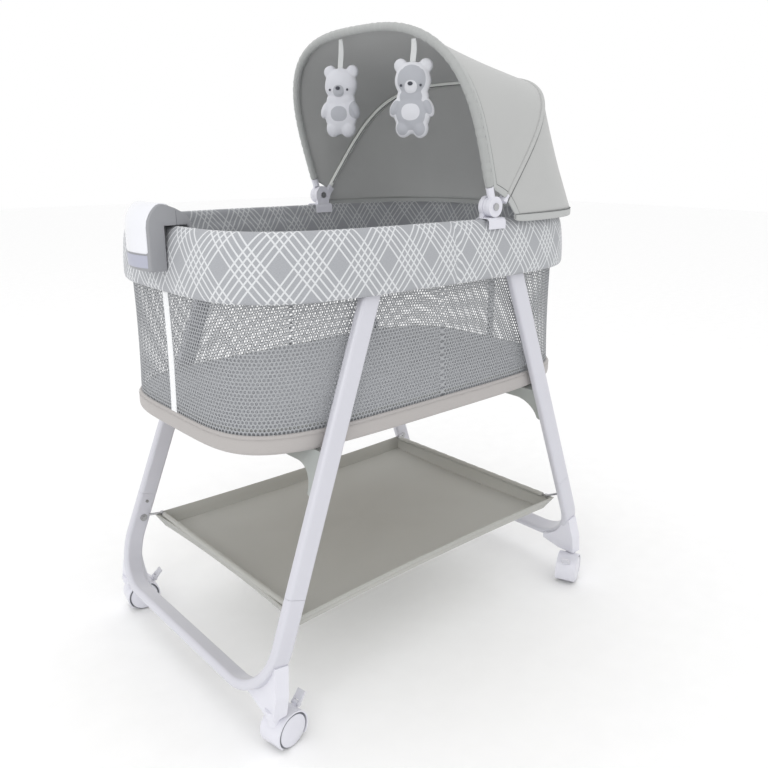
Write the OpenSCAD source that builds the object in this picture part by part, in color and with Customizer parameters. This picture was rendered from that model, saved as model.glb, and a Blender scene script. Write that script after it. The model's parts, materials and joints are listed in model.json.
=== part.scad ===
// Bassinet on a stand with casters, a storage shelf, a folding canopy with two
// hanging toys, and a vibration unit that hooks over the rim.
// Millimetres, +Z up, the floor is z = 0, +X is the head (canopy) end.

/* [Stand] */
// Distance of a leg's line from the middle at floor level, along the length
leg_floor_x = 416; // [400:1:430]
// Distance of a leg's line from the middle at floor level, across
leg_floor_y = 253.5; // [250:0.5:258]
// Lean of the legs towards the middle, seen from the side
leg_lean = 20.7; // [19.5:0.1:21.5]
// Flare of the legs, seen from the end
leg_flare = 2.5; // [2.3:0.1:2.7]
// Width of the flat-oval leg tube
leg_w = 34; // [30:1:38]
// Thickness of the flat-oval leg tube
leg_t = 16; // [14:1:18]
// Wall of the leg tube
leg_wall = 1.6; // [1.2:0.1:2.5]
// Height of the joint between a floor frame and the upper legs
seam_z = 234; // [220:1:250]
// Height of the floor bar's centre line
bar_z = 80; // [76:1:84]
// Radius of the bend between a leg and the floor bar
bend_r = 85; // [75:1:95]
// Height of the top of the legs, under the rim
leg_top_z = 727; // [720:1:730]

/* [Casters] */
// Radius of a wheel
wheel_r = 28; // [27:0.5:28.5]
// Width of one wheel of the pair
wheel_w = 12; // [10:0.5:13]
// Distance of the wheel axle behind the swivel axis
caster_trail = 20; // [16:1:22]
// Distance of the swivel axes from the middle, along the length
stem_x = 376; // [374:1:378]
// Distance of the swivel axes from the middle, across
stem_y = 249; // [248:1:251]
// Turn of the foot-end casters
foot_caster_turn = 10; // [0:1:30]
// Turn of the head-end casters
head_caster_turn = 203; // [180:1:210]

/* [Basket] */
// Half length of the rim band
rim_l = 386; // [380:1:392]
// Half width of the rim band
rim_w = 247; // [244:1:250]
// Height of the top of the rim band
rim_top = 760; // [758:1:762]
// Height of the lower edge of the rim band
rim_bottom = 663; // [650:1:675]
// Half length of the base band
base_l = 379.5; // [376:0.5:382]
// Half width of the base band
base_w = 224.6; // [222:0.1:225]
// Height of the lower edge of the base band
base_bottom = 442; // [441:0.5:443]
// Height of the upper edge of the base band
base_top = 473; // [470:1:476]
// Thickness of the mattress
mattress_t = 24; // [20:1:28]

/* [Shelf] */
// Height of the shelf's rods
shelf_z = 188; // [180:1:195]
// Half length of the shelf cloth
shelf_l = 322; // [316:1:324]
// Half width of the shelf cloth
shelf_w = 234; // [228:1:235]
// Depth of the shelf tray
shelf_depth = 24; // [15:1:35]

/* [Canopy] */
// Distance of the hubs from the middle, towards the head end
hub_x = 90; // [85:1:95]
// Height of the hubs
hub_z = 778.5; // [778:0.5:780]
// Radius of the turning discs in the hubs
disc_r = 16.4; // [15:0.1:16.4]
// Slope of the front hoop above the horizontal
hoop_angle = 108; // [104:1:112]
// Height of the front hoop above the hubs, along its slope
hoop_h = 291.5; // [280:0.5:300]
// Slope of the rear bow above the horizontal
bow_angle = 53.8; // [50:0.2:58]
// Height of the rear bow above the hubs, along its slope
bow_h = 274.7; // [265:0.1:285]

/* [Vibration unit] */
// Width of the vibration unit
unit_w = 74; // [70:1:80]
// Distance of the unit's front face from the middle
unit_face = 420; // [416:1:422]
// Height of the top of the unit
unit_top = 791; // [788:1:794]
// Height of the bottom of the unit
unit_bottom = 697; // [690:1:702]

/* [Hidden] */
$fn = 48;

// The basket's middle stands this far from the middle of the overall length
basket_x = 9.4;
foot = -1;
head = 1;
front = -1;
back = 1;
running = 0.06;

// Points round a rim-like outline, and the blockiness of each outline
outline_points = 88;
rim_n = 4;
base_n = 4.6;

// Rim tube
rim_tube_r = 7;
rim_tube_inset = 18;
rim_tube_z = rim_top - 16;

// Base
base_tube_r = 8;
base_tube_inset = 13.6;
board_t = 4;
board_z = base_bottom + 2 * base_tube_r;
mattress_z = board_z + board_t;

// Hub layers, as distances from the middle across the width
fixed_disc = [217, 225];
bow_disc = [225.4, 230.4];
hoop_disc = [230.8, 239.4];
hub_pin_r = 4;
clip_w = 40;
saddle = [760.2, 761.8];

// Hoop and bow outlines
hoop_half = 232.7;
hoop_n = 2.92;
hoop_foot = 72;
hoop_tube_r = 4.5;
sleeve_r = 7.5;
sleeve_start = 33;
bow_half = 236;
bow_n = 3.92;
bow_rod_r = 4;
bow_offset = 15.7;
bow_start = 26;
arch_steps = 40;

// Snap buttons
snap_r = 3;
snap_z = seam_z - 14;

// Frame slope helpers
flare_slope = tan(leg_flare) * cos(leg_lean);
flare_in_plane = atan(flare_slope);

function leg_x(z) = leg_floor_x - z * tan(leg_lean);
function leg_y(z) = leg_floor_y - z * tan(leg_flare);
function along(z) = z / cos(leg_lean);
function sgn_pow(v, p) = sign(v) * pow(abs(v), p);
function outline_at(t, a, b, n) = [a * sgn_pow(cos(t), 2 / n), b * sgn_pow(sin(t), 2 / n)];
function outline(a, b, n) = [for (i = [0:outline_points - 1]) outline_at(360 * i / outline_points, a, b, n)];

// ---------- shared helpers ----------

// Moves the stand and basket so that the overall length is centred on x = 0
module seated() {
    translate([basket_x, 0, 0]) children();
}

// Plane of a floor frame and its legs: local y runs across, local z up the slope
module leg_plane(end) {
    translate([end * leg_floor_x, 0, 0]) rotate([0, -end * leg_lean, 0]) children();
}

// Exact rounded rectangle
module rounded(w, h, r) {
    square([w - 2 * r, h], center = true);
    square([w, h - 2 * r], center = true);
    for (x = [-1, 1], y = [-1, 1]) {
        translate([x * (w / 2 - r), y * (h / 2 - r)]) circle(r = r);
    }
}

// Flat-oval hollow tube section, thickness along x and width along y
module tube_section() {
    difference() {
        rounded(leg_t, leg_w, 6);
        rounded(leg_t - 2 * leg_wall, leg_w - 2 * leg_wall, 6 - leg_wall);
    }
}

// Closed ring or open tube swept along points in the local XY plane
module sweep(path, r, sides, closed, r_inner = 0) {
    count = len(path);
    function before(i) = closed ? path[(i + count - 1) % count] : path[max(i - 1, 0)];
    function after(i) = closed ? path[(i + 1) % count] : path[min(i + 1, count - 1)];
    function side(i) = let (d = after(i) - before(i), m = norm(d)) [-d.y / m, d.x / m];
    function ring(i, radius) = [for (j = [0:sides - 1]) let (a = 360 * j / sides, s = side(i))
        [path[i].x + radius * cos(a) * s.x, path[i].y + radius * cos(a) * s.y, radius * sin(a)]];
    outer = [for (i = [0:count - 1]) each ring(i, r)];
    inner = [for (i = [0:count - 1]) each ring(i, r_inner)];
    last = closed ? count - 1 : count - 2;
    skin = [for (i = [0:last], j = [0:sides - 1])
        let (a = i * sides + j, b = i * sides + (j + 1) % sides,
             c = ((i + 1) % count) * sides + (j + 1) % sides, d = ((i + 1) % count) * sides + j)
        each [[a, b, c], [a, c, d]]];
    shift = len(outer);
    bore = [for (f = skin) [f[2] + shift, f[1] + shift, f[0] + shift]];
    end = (count - 1) * sides;
    caps = r_inner > 0
        ? [for (j = [0:sides - 1]) let (k = (j + 1) % sides) each [
            [k, j, shift + j], [k, shift + j, shift + k],
            [end + j, end + k, shift + end + j], [end + k, shift + end + k, shift + end + j]]]
        : [[for (j = [sides - 1:-1:0]) j], [for (j = [0:sides - 1]) end + j]];
    points = r_inner > 0 ? concat(outer, inner) : outer;
    faces = closed ? skin : (r_inner > 0 ? concat(skin, bore, caps) : concat(skin, caps));
    polyhedron(points = points, faces = [for (f = faces) [for (k = [len(f) - 1:-1:0]) f[k]]]);
}

// Ring whose cross-section is a closed profile of [inset, height] pairs
module ring_loft(a, b, n, profile) {
    m = len(profile);
    points = [for (i = [0:outline_points - 1], p = profile)
        let (q = outline_at(360 * i / outline_points, a - p[0], b - p[0], n)) [q.x, q.y, p[1]]];
    faces = [for (i = [0:outline_points - 1], j = [0:m - 1])
        let (i2 = (i + 1) % outline_points, j2 = (j + 1) % m,
             p = i * m + j, q = i2 * m + j, r = i2 * m + j2, s = i * m + j2)
        each [[p, r, q], [p, s, r]]];
    polyhedron(points = points, faces = faces);
}

// Thin sheet between two rows of points, given for its outer and inner skins
module sheet(outer_a, outer_b, inner_a, inner_b, steps) {
    n = len(outer_a);
    function row(a, b, s) = [for (k = [0:n - 1]) a[k] + (b[k] - a[k]) * s / steps];
    outer = [for (s = [0:steps]) each row(outer_a, outer_b, s)];
    inner = [for (s = [0:steps]) each row(inner_a, inner_b, s)];
    shift = len(outer);
    top = [for (s = [0:steps - 1], k = [0:n - 2])
        let (p = s * n + k, q = p + 1, r = q + n, t = p + n) each [[p, q, r], [p, r, t]]];
    under = [for (f = top) [f[2] + shift, f[1] + shift, f[0] + shift]];
    near = [for (k = [0:n - 2]) each [[k + 1, k, shift + k], [k + 1, shift + k, shift + k + 1]]];
    e = steps * n;
    far = [for (k = [0:n - 2]) each [
        [e + k, e + k + 1, shift + e + k], [e + k + 1, shift + e + k + 1, shift + e + k]]];
    left = [for (s = [0:steps - 1]) let (p = s * n, q = p + n) each [
        [p, q, shift + p], [q, shift + q, shift + p]]];
    right = [for (s = [0:steps - 1]) let (p = s * n + n - 1, q = p + n) each [
        [q, p, shift + p], [q, shift + p, shift + q]]];
    polyhedron(points = concat(outer, inner), faces = concat(top, under, near, far, left, right));
}

// ---------- floor frames and legs ----------

// Heights and centres of a floor frame's bends, in the slope plane
bar_w = along(bar_z);
bend_w = bar_w + bend_r;
bend_y = leg_floor_y - bend_w * flare_slope - bend_r / cos(flare_in_plane);
bend_end_w = bend_w + bend_r * sin(flare_in_plane);

// Sweep of a section along the floor bar, the two bends and the two leg stubs
module frame_sweep(end, grow, hollow) {
    stub_len = (along(seam_z) - bend_end_w) / cos(flare_in_plane);
    leg_plane(end) {
        translate([0, bend_y, bar_w]) rotate([90, 0, 0])
            linear_extrude(2 * bend_y) rotate(90) frame_section(grow, hollow);
        for (flip = [0, 1]) {
            mirror([0, flip, 0]) {
                translate([0, bend_y, bend_w]) rotate([0, 90, 0])
                    rotate_extrude(angle = 90 + flare_in_plane, $fn = 96)
                        translate([bend_r, 0]) frame_section(grow, hollow);
                translate([0, leg_floor_y - bend_end_w * flare_slope, bend_end_w])
                    rotate([flare_in_plane, 0, 0]) linear_extrude(stub_len) rotate(90)
                        frame_section(grow, hollow);
            }
        }
    }
}

module frame_section(grow, hollow) {
    if (hollow) {
        tube_section();
    } else {
        rounded(leg_t + 2 * grow, leg_w + 2 * grow, 6 + grow);
    }
}

// Cylinder across the width through a leg's inner face, for a snap button
module snap_bore(end, side, length) {
    translate([end * leg_x(snap_z), side * (leg_y(snap_z) - leg_t / 2), snap_z])
        rotate([90, 0, 0]) cylinder(r = snap_r + running, h = length, center = true);
}

// U-shaped tube: two leg stubs, two bends and the floor bar
module lower_frame(end) {
    seated() color("ghostwhite") difference() {
        frame_sweep(end, 0, true);
        for (side = [front, back]) {
            snap_bore(end, side, 10);
        }
    }
}

// Solid of the leg tube's outside between two heights, for one corner
module leg_bar(end, side, z1, z2, w, t, r) {
    leg_plane(end) mirror([0, side < 0 ? 1 : 0, 0])
        translate([0, leg_floor_y - along(z1) * flare_slope, along(z1)])
            rotate([flare_in_plane, 0, 0]) linear_extrude((along(z2) - along(z1)) / cos(flare_in_plane))
                rotate(90) rounded(t, w, r);
}

// Upper leg: a tube with a plug that slides into the floor frame
module upper_leg(end, side) {
    plug_depth = 42;
    plug_gap = 0.3;
    plug_w = leg_w - 2 * leg_wall - 2 * plug_gap;
    plug_t = leg_t - 2 * leg_wall - 2 * plug_gap;
    seated() color("ghostwhite") difference() {
        union() {
            leg_bar(end, side, seam_z + 0.4, leg_top_z, leg_w, leg_t, 6);
            leg_bar(end, side, seam_z - plug_depth, seam_z + 12, plug_w, plug_t, 4);
        }
        leg_bar(end, side, seam_z + 14, leg_top_z - 8,
                leg_w - 2 * leg_wall, leg_t - 2 * leg_wall, 6 - leg_wall);
        snap_bore(end, side, 2 * (leg_t - 4));
    }
}

// Sprung button that locks a leg into the floor frame
module snap_button(end, side) {
    proud = 1.2;
    length = 7;
    seated() color("silver")
        translate([end * leg_x(snap_z), side * (leg_y(snap_z) - leg_t / 2 - proud), snap_z])
            rotate([-side * 90, 0, 0]) cylinder(r = snap_r, h = length);
}

// Beam across under the basket with a curved gusset down each leg
module cross_beam(end) {
    beam_t = 24;
    top_w = along(base_bottom) - 3.4;
    depth = 26;
    gusset = 42;
    inner_y = leg_y(base_bottom) - leg_t / 2 - 0.2;
    low_y = leg_y(base_bottom - depth - gusset) - leg_t / 2 - 0.2;
    low_w = top_w - depth - gusset;
    seated() color("gainsboro") intersection() {
        leg_plane(end) translate([beam_t / 2, 0, 0]) rotate([0, -90, 0]) linear_extrude(beam_t)
            difference() {
                polygon([[top_w, -inner_y], [top_w, inner_y], [low_w, low_y], [low_w, low_y - 5],
                         [low_w + gusset, inner_y - 5 - gusset], [low_w + gusset, gusset + 5 - inner_y],
                         [low_w, 5 - low_y], [low_w, -low_y]]);
                for (side = [front, back]) {
                    translate([low_w, side * (inner_y - 5 - gusset)]) circle(r = gusset, $fn = 64);
                }
            }
        translate([-600, -400, 0]) cube([1200, 800, base_bottom]);
    }
}

// Screws: two through each gusset into the legs, one at each shelf corner, with washers
module frame_screws() {
    head_r = 3.6;
    washer_r = 7;
    seated() color("silver") for (end = [foot, head], side = [front, back]) {
        for (drop = [30, 52]) {
            z = base_bottom - drop;
            translate([end * leg_x(z), side * (leg_y(z) - leg_t / 2 - 5.4), z])
                rotate([side * 90, 0, 0]) cylinder(r = head_r, h = 2);
        }
        translate([end * (leg_x(shelf_z) - 3), side * (leg_y(shelf_z) - leg_t / 2 - 0.2), shelf_z]) {
            rotate([side * 90, 0, 0]) cylinder(r = washer_r, h = 1.6);
            rotate([side * 90, 0, 0]) cylinder(r = head_r, h = 4.4);
        }
    }
}

// Webs under the bends that hold the caster stems
module caster_sockets() {
    web_t = 24;
    web_lean = 8.8;
    web_floor_x = 383.5;
    web_bottom = 60;
    web_top = 140;
    inner_y = 188;
    gap = 0.1;
    seated() color("ghostwhite") for (end = [foot, head], side = [front, back]) {
        difference() {
            union() {
                intersection() {
                    translate([end * web_floor_x, 0, 0]) rotate([0, -end * web_lean, 0])
                        mirror([0, side < 0 ? 1 : 0, 0]) translate([web_t / 2, 0, 0])
                            rotate([0, -90, 0]) linear_extrude(web_t) difference() {
                                polygon([[50, stem_y + 14], [95, stem_y + 14],
                                         [web_top, leg_y(web_top) + leg_t / 2 - 1],
                                         [web_top, leg_y(web_top)], [bar_z + bend_r, bend_y],
                                         [bar_z, inner_y], [bar_z - leg_t / 2, inner_y],
                                         [60, stem_y - 14], [50, stem_y - 14]]);
                                translate([bar_z + bend_r * cos(leg_lean), bend_y])
                                    circle(r = bend_r - 2, $fn = 96);
                            }
                    translate([-600, -400, web_bottom]) cube([1200, 800, 200]);
                }
                translate([end * stem_x, side * stem_y, web_bottom]) cylinder(r = 13, h = 12);
            }
            translate([end * stem_x, side * stem_y, web_bottom - 1]) cylinder(r = 5 + running, h = 13);
            frame_sweep(end, gap, false);
        }
    }
}

// ---------- casters ----------

module caster_place(end, side) {
    turn = end == foot ? foot_caster_turn : head_caster_turn;
    seated() translate([end * stem_x, side * stem_y, 0]) mirror([0, side > 0 ? 1 : 0, 0])
        rotate([0, 0, turn]) children();
}

hood_w = 40;
hood_r = wheel_r + 3;
pocket_r = wheel_r + 0.6;
hood_web = 13;
axle_r = 4;
pedal_dir = 42;
pedal_dist = hood_r + 4.8;
pedal_pin_r = 2.4;

module at_axle() {
    translate([caster_trail, 0, wheel_r]) rotate([90, 0, 0]) children();
}

module at_pedal() {
    translate([caster_trail + pedal_dist * cos(pedal_dir), 0, wheel_r + pedal_dist * sin(pedal_dir)])
        rotate([90, 0, 0]) children();
}

// Lug that carries the brake pedal's pin
module pedal_lug() {
    lug_w = 8;
    at_axle() rotate([0, 0, pedal_dir]) translate([0, 0, -lug_w / 2]) linear_extrude(lug_w) difference() {
        union() {
            translate([pedal_dist, 0]) circle(r = 4);
            translate([hood_r - 1.5, -3]) square([pedal_dist - hood_r + 1.5, 6]);
        }
        translate([pedal_dist, 0]) circle(r = pedal_pin_r + running);
    }
}

// Swivelling hood with its stem, wheel pockets and the brake pedal's lug
module caster_hood(end, side) {
    color("ghostwhite") caster_place(end, side) difference() {
        union() {
            at_axle() cylinder(r = hood_r, h = hood_w, center = true, $fn = 72);
            translate([0, 0, 45]) cylinder(r = 10, h = 14.6);
            translate([0, 0, 50]) cylinder(r = 5, h = 21.5);
            pedal_lug();
        }
        for (s = [-1, 1]) {
            at_axle() translate([0, 0, s * (hood_web / 2 + 20)])
                cylinder(r = pocket_r, h = 40, center = true, $fn = 72);
        }
        translate([-60, -40, -20]) cube([160, 80, 30]);
        at_axle() cylinder(r = axle_r + running, h = 60, center = true);
    }
}

// Pair of wheels on one axle, each with a shallow cap on its outer face
module caster_wheels(end, side) {
    gap = hood_web / 2 + 0.5;
    color("whitesmoke") caster_place(end, side) at_axle() {
        cylinder(r = axle_r, h = 2 * gap + 2, center = true);
        for (s = [0, 1]) {
            mirror([0, 0, s]) translate([0, 0, gap]) rotate_extrude($fn = 72)
                polygon([[0, 0], [wheel_r - 1.5, 0], [wheel_r, 1.5], [wheel_r, wheel_w - 2],
                         [wheel_r - 2, wheel_w], [wheel_r - 7, wheel_w + 0.6], [0, wheel_w + 1]]);
        }
    }
}

// Foot lever that presses a brake against the wheels
module brake_pedal(end, side) {
    rise = 50;
    reach = 18.5;
    width = 15;
    ear_in = 4.4;
    ear_t = 3;
    color("darkgray") caster_place(end, side) at_pedal() rotate([0, 0, rise]) {
        cylinder(r = pedal_pin_r, h = 2 * (ear_in + ear_t), center = true);
        for (s = [-1, 1]) {
            translate([0, 0, s * (ear_in + ear_t / 2)]) cylinder(r = 3.8, h = ear_t, center = true);
            translate([4, 0, s * (ear_in + ear_t / 2)]) cube([9, 5, ear_t], center = true);
        }
        translate([5.2, -2.5, -width / 2]) cube([reach - 5.2, 4, width]);
        translate([reach, -0.5, -width / 2]) cylinder(r = 2, h = width);
    }
}

// ---------- rim and basket ----------

function half_outline(a, b, n, end) = [for (i = [0:outline_points / 2])
    outline_at(-90 + 360 * i / outline_points + (end < 0 ? 180 : 0), a, b, n)];

module rim_tube(end) {
    a = rim_l - rim_tube_inset;
    b = rim_w - rim_tube_inset;
    seated() color("silver") translate([0, 0, rim_tube_z])
        sweep(half_outline(a, b, rim_n, end), rim_tube_r, 10, false);
}

// Sleeves that join the rim tubes, and saddles that stand on the legs
module rim_connectors() {
    sleeve_len = 70;
    wall = 1.4;
    y = rim_w - rim_tube_inset;
    seated() color("dimgray") {
        for (side = [front, back]) {
            translate([0, side * y, rim_tube_z]) rotate([0, 90, 0]) difference() {
                cylinder(r = rim_tube_r + wall, h = sleeve_len, center = true);
                cylinder(r = rim_tube_r, h = sleeve_len + 2, center = true);
            }
            for (end = [foot, head]) {
                translate([end * leg_x(leg_top_z), side * (leg_y(leg_top_z) + 3), leg_top_z + 0.2])
                    translate([-15, -6, 0]) cube([30, 12, 11]);
            }
        }
    }
}

// Fabric band round the rim, an upside-down channel
module rim_band() {
    wall = 2.5;
    depth = 31;
    leg_room = 4.2;
    low = depth + leg_room;
    outer = [[0, rim_bottom], [1, 700], [4, 730], [7, 745], [11, rim_top - 5], [17, rim_top]];
    inner = [[24, rim_top - 2], [29, rim_top - 10], [depth, 735], [low, 730], [low, rim_bottom + 5]];
    back_in = [[low - wall, rim_bottom + 5], [low - wall, 730], [depth - wall, 735],
               [27, rim_top - 11], [23, rim_top - 4.5], [17, rim_top - 2.5]];
    back_out = [[12, rim_top - 6.5], [9.5, 745], [6.5, 730], [3.5, 700], [wall, rim_bottom]];
    seated() color("silver") ring_loft(rim_l, rim_w, rim_n, concat(outer, inner, back_in, back_out));
}

// Mesh wall from the base band up to the rim band's lower edge
module mesh_wall() {
    t = 1.5;
    top = rim_bottom - 0.4;
    bottom = base_bottom + 6;
    top_l = 376;
    top_w = 214.3;
    bottom_l = 376.2;
    bottom_w = 221;
    n = outline_points;
    function ring(a, b, z) = [for (p = outline(a, b, base_n)) [p.x, p.y, z]];
    points = concat(ring(bottom_l, bottom_w, bottom), ring(top_l, top_w, top),
                    ring(top_l - t, top_w - t, top), ring(bottom_l - t, bottom_w - t, bottom));
    faces = [for (j = [0:3], i = [0:n - 1]) let (i2 = (i + 1) % n, j2 = (j + 1) % 4,
             p = j * n + i, q = j * n + i2, r = j2 * n + i2, s = j2 * n + i) each [[p, r, q], [p, s, r]]];
    seated() color("darkgray") polyhedron(points = points, faces = faces);
}

// Flat tapes over the mesh seams in the middle of each end
module seam_tapes() {
    tape_w = 17;
    tape_t = 1;
    seated() color("whitesmoke") for (end = [foot, head]) {
        translate([end * 376.75, 0, (base_top + rim_bottom) / 2])
            cube([tape_t, tape_w, rim_bottom - base_top + 12], center = true);
    }
}

module base_band() {
    wall = 2.2;
    seated() color("rosybrown") translate([0, 0, base_bottom]) linear_extrude(base_top - base_bottom)
        difference() {
            polygon(outline(base_l, base_w, base_n));
            polygon(outline(base_l - wall, base_w - wall, base_n));
        }
}

module base_tube() {
    a = base_l - base_tube_inset;
    b = base_w - base_tube_inset;
    seated() color("dimgray") translate([0, 0, base_bottom + base_tube_r])
        sweep(outline(a, b, base_n), base_tube_r, 8, true);
}

module base_board() {
    inset = 9;
    seated() color("tan") translate([0, 0, board_z]) linear_extrude(board_t)
        polygon(outline(base_l - inset, base_w - inset, base_n));
}

module mattress() {
    inset = 9;
    seated() color("lightgray") translate([0, 0, mattress_z]) linear_extrude(mattress_t)
        polygon(outline(base_l - inset, base_w - inset, base_n));
}

// ---------- shelf ----------

// Cloth tray with slanted walls and bowed edges
module shelf_cloth() {
    t = 2;
    slant = 14;
    bow = 9;
    steps = 8;
    lip = shelf_z + 3;
    function edge(a, b, inset) = [for (i = [0:steps - 1]) let (s = i / steps)
        a + (b - a) * s + inset * sin(180 * s) * [-(b - a).y, (b - a).x] / norm(b - a)];
    function loop(l, w, inset) = let (c = [[-l, -w], [l, -w], [l, w], [-l, w]])
        [for (k = [0:3]) each edge(c[k], c[(k + 1) % 4], inset)];
    n = 4 * steps;
    function ring(l, w, z) = [for (p = loop(l, w, bow)) [p.x, p.y, z]];
    points = concat(ring(shelf_l - slant, shelf_w - slant, lip - shelf_depth), ring(shelf_l, shelf_w, lip),
                    ring(shelf_l - t, shelf_w - t, lip),
                    ring(shelf_l - slant - t, shelf_w - slant - t, lip - shelf_depth + t));
    walls = [for (j = [0:2], i = [0:n - 1]) let (i2 = (i + 1) % n,
             p = j * n + i, q = j * n + i2, r = (j + 1) * n + i2, s = (j + 1) * n + i)
             each [[p, r, q], [p, s, r]]];
    seated() color("darkgray")
        polyhedron(points = points, faces = concat(walls,
            [[for (i = [0:n - 1]) i]], [[for (i = [n - 1:-1:0]) 3 * n + i]]));
}

// Rods across the ends of the shelf, hooked to the legs
module shelf_rods() {
    r = 2.2;
    x = shelf_l - 11;
    eye_x = leg_x(shelf_z) - 3;
    eye_y = leg_y(shelf_z) - leg_t / 2 - 3.6;
    bend_y = shelf_w - 12;
    run = eye_x - x;
    rise = eye_y - bend_y;
    seated() color("silver") for (end = [foot, head]) {
        translate([end * x, -bend_y, shelf_z + 6]) rotate([-90, 0, 0]) cylinder(r = r, h = 2 * bend_y);
        for (side = [front, back]) {
            translate([end * x, side * bend_y, shelf_z + 6]) cylinder(r = r + 1, h = 2 * r + 2, center = true);
            translate([end * x, side * bend_y, shelf_z + 6])
                rotate([0, 0, atan2(side * rise, end * run)]) rotate([0, 90, 0])
                    cylinder(r = r, h = norm([run, rise]) - 8);
        }
    }
}

// ---------- vibration unit ----------

unit_wall = 2.2;
unit_in = rim_l + 0.6;
face_sag = 8;
face_r = (unit_w / 2) * (unit_w / 2) / (2 * face_sag) + face_sag / 2;

// Side outline of the case, standing in the XZ plane at the foot end
module case_outline(grow) {
    x1 = unit_in - grow;
    x2 = unit_face + grow;
    z1 = unit_bottom - grow;
    z2 = unit_top + grow;
    r = 17 + grow;
    polygon([[-x1, z1], [-x1, z2], [-x2 + r, z2], [-x2, z2 - r], [-x2, z1 + 6], [-x2 + 6, z1]]);
    intersection() {
        translate([-x2 + r, z2 - r]) circle(r = r, $fn = 64);
        translate([-x2, z2 - r]) square([r, r]);
    }
    intersection() {
        translate([-x2 + 6, z1 + 6]) circle(r = 6, $fn = 48);
        translate([-x2, z1]) square([6, 6]);
    }
}

// Upright cylinder whose foot-end side is the unit's bowed face
module bowed_face(grow) {
    translate([face_r - unit_face, 0, unit_bottom - 20]) cylinder(r = face_r + grow, h = 140, $fn = 144);
}

module case_solid(grow, width) {
    intersection() {
        translate([0, width / 2, 0]) rotate([90, 0, 0]) linear_extrude(width) case_outline(grow);
        bowed_face(grow);
    }
}

// Hollow case that hangs outside the rim
module unit_case() {
    seated() color("darkgray") difference() {
        case_solid(0, unit_w);
        case_solid(-unit_wall, unit_w - 2 * unit_wall);
        translate([-unit_face - 5, -button_w / 2 - 0.4, button_z - 0.4])
            cube([20, button_w + 0.8, button_h + 0.8]);
    }
}

// Saddle over the rim with an inner hook
module unit_hook() {
    inner = 341;
    drop = 738;
    top_r = 12;
    hook_t = 7;
    side_in = unit_in - 0.2;
    low_top = unit_top - 4;
    seated() color("darkgray") translate([0, unit_w / 2, 0]) rotate([90, 0, 0]) linear_extrude(unit_w)
        polygon(concat(
            [[-inner, drop], [-inner - hook_t, drop], [-inner - hook_t, rim_top + 0.5],
             [-side_in, rim_top + 0.5], [-side_in, unit_top]],
            [for (a = [90:-10:0]) [-inner - top_r + top_r * cos(a), low_top - top_r + top_r * sin(a)]]));
}

// Smooth cover over the face and top of the case
module unit_fascia() {
    t = 1.6;
    cover_w = 68;
    low = 722;
    seated() color("white") difference() {
        case_solid(t, cover_w);
        case_solid(0.1, cover_w + 2);
        translate([-unit_face - 20, -50, unit_bottom - 10]) cube([80, 100, low - unit_bottom + 10]);
        translate([-unit_in - 4, -50, unit_bottom - 10]) cube([20, 100, 200]);
    }
}

button_w = 64;
button_h = 18;
button_z = 702;

// Wide push key under the cover
module power_button() {
    proud = 1.2;
    depth = 7;
    seated() color("lightsteelblue") intersection() {
        translate([-unit_face - proud, -button_w / 2, button_z])
            cube([depth + face_sag, button_w, button_h]);
        difference() {
            bowed_face(proud);
            bowed_face(proud - depth);
        }
    }
}

// Door behind the cells, against the case's inner wall
module battery_door() {
    door_w = 58;
    door_h = 40;
    seated() color("gray") translate([-unit_in - unit_wall - 1.4, -door_w / 2, unit_bottom + 5])
        cube([1.2, door_w, door_h]);
}

// Two cylindrical cells side by side
module battery_cells() {
    cell_r = 7;
    cell_len = 49;
    seated() color("olivedrab") for (row = [0, 1]) {
        translate([-unit_in - unit_wall - 9.2, 0, unit_bottom + 12 + row * 15])
            rotate([90, 0, 0]) union() {
                cylinder(r = cell_r, h = cell_len, center = true);
                cylinder(r = 2.6, h = cell_len + 2.4, center = true);
            }
    }
}

module circuit_board() {
    seated() color("seagreen") translate([-unit_in - 19.6, -26, 742]) cube([1.6, 52, 26]);
}

motor_x = unit_in + 10.4;
motor_z = 752;

// Small motor with its shaft along the width
module vibration_motor() {
    seated() color("silver") translate([-motor_x, 0, motor_z]) rotate([90, 0, 0]) {
        cylinder(r = 6.5, h = 24, center = true);
        translate([0, 0, 12]) cylinder(r = 1, h = 12);
    }
}

// Half-round weight on the motor shaft
module eccentric_weight() {
    seated() color("goldenrod") translate([-motor_x, -13, motor_z]) rotate([90, 0, 0]) difference() {
        union() {
            intersection() {
                cylinder(r = 6.5, h = 8);
                translate([-7, -7, 0]) cube([14, 7, 8]);
            }
            cylinder(r = 2.6, h = 8);
        }
        translate([0, 0, -1]) cylinder(r = 1 + running, h = 10);
    }
}

// ---------- canopy hubs, hoop and bow ----------

// Plane of a hoop: local x runs across, local y up the slope from the hub axis
module hub_plane(angle, offset) {
    seated() translate([hub_x, 0, hub_z]) rotate([0, 90 - angle, 0]) translate([offset, 0, 0])
        rotate([90, 0, 90]) children();
}

function arch(half, low, high, n, start, grow) = concat(
    [[half + grow, start]],
    [for (i = [0:arch_steps]) let (t = 180 * i / arch_steps)
        [(half + grow) * sgn_pow(cos(t), 2 / n), low + (high + grow - low) * sgn_pow(sin(t), 2 / n)]],
    [[-half - grow, start]]);

function hoop_path(start, grow = 0) = arch(hoop_half, hoop_foot, hoop_h, hoop_n, start, grow);
function bow_path(start, grow = 0) = arch(bow_half, start + 8, bow_h, bow_n, start, grow);

module disc(layer, side, r) {
    translate([hub_x, side * layer[0], hub_z]) rotate([-side * 90, 0, 0])
        cylinder(r = r, h = layer[1] - layer[0]);
}

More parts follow.
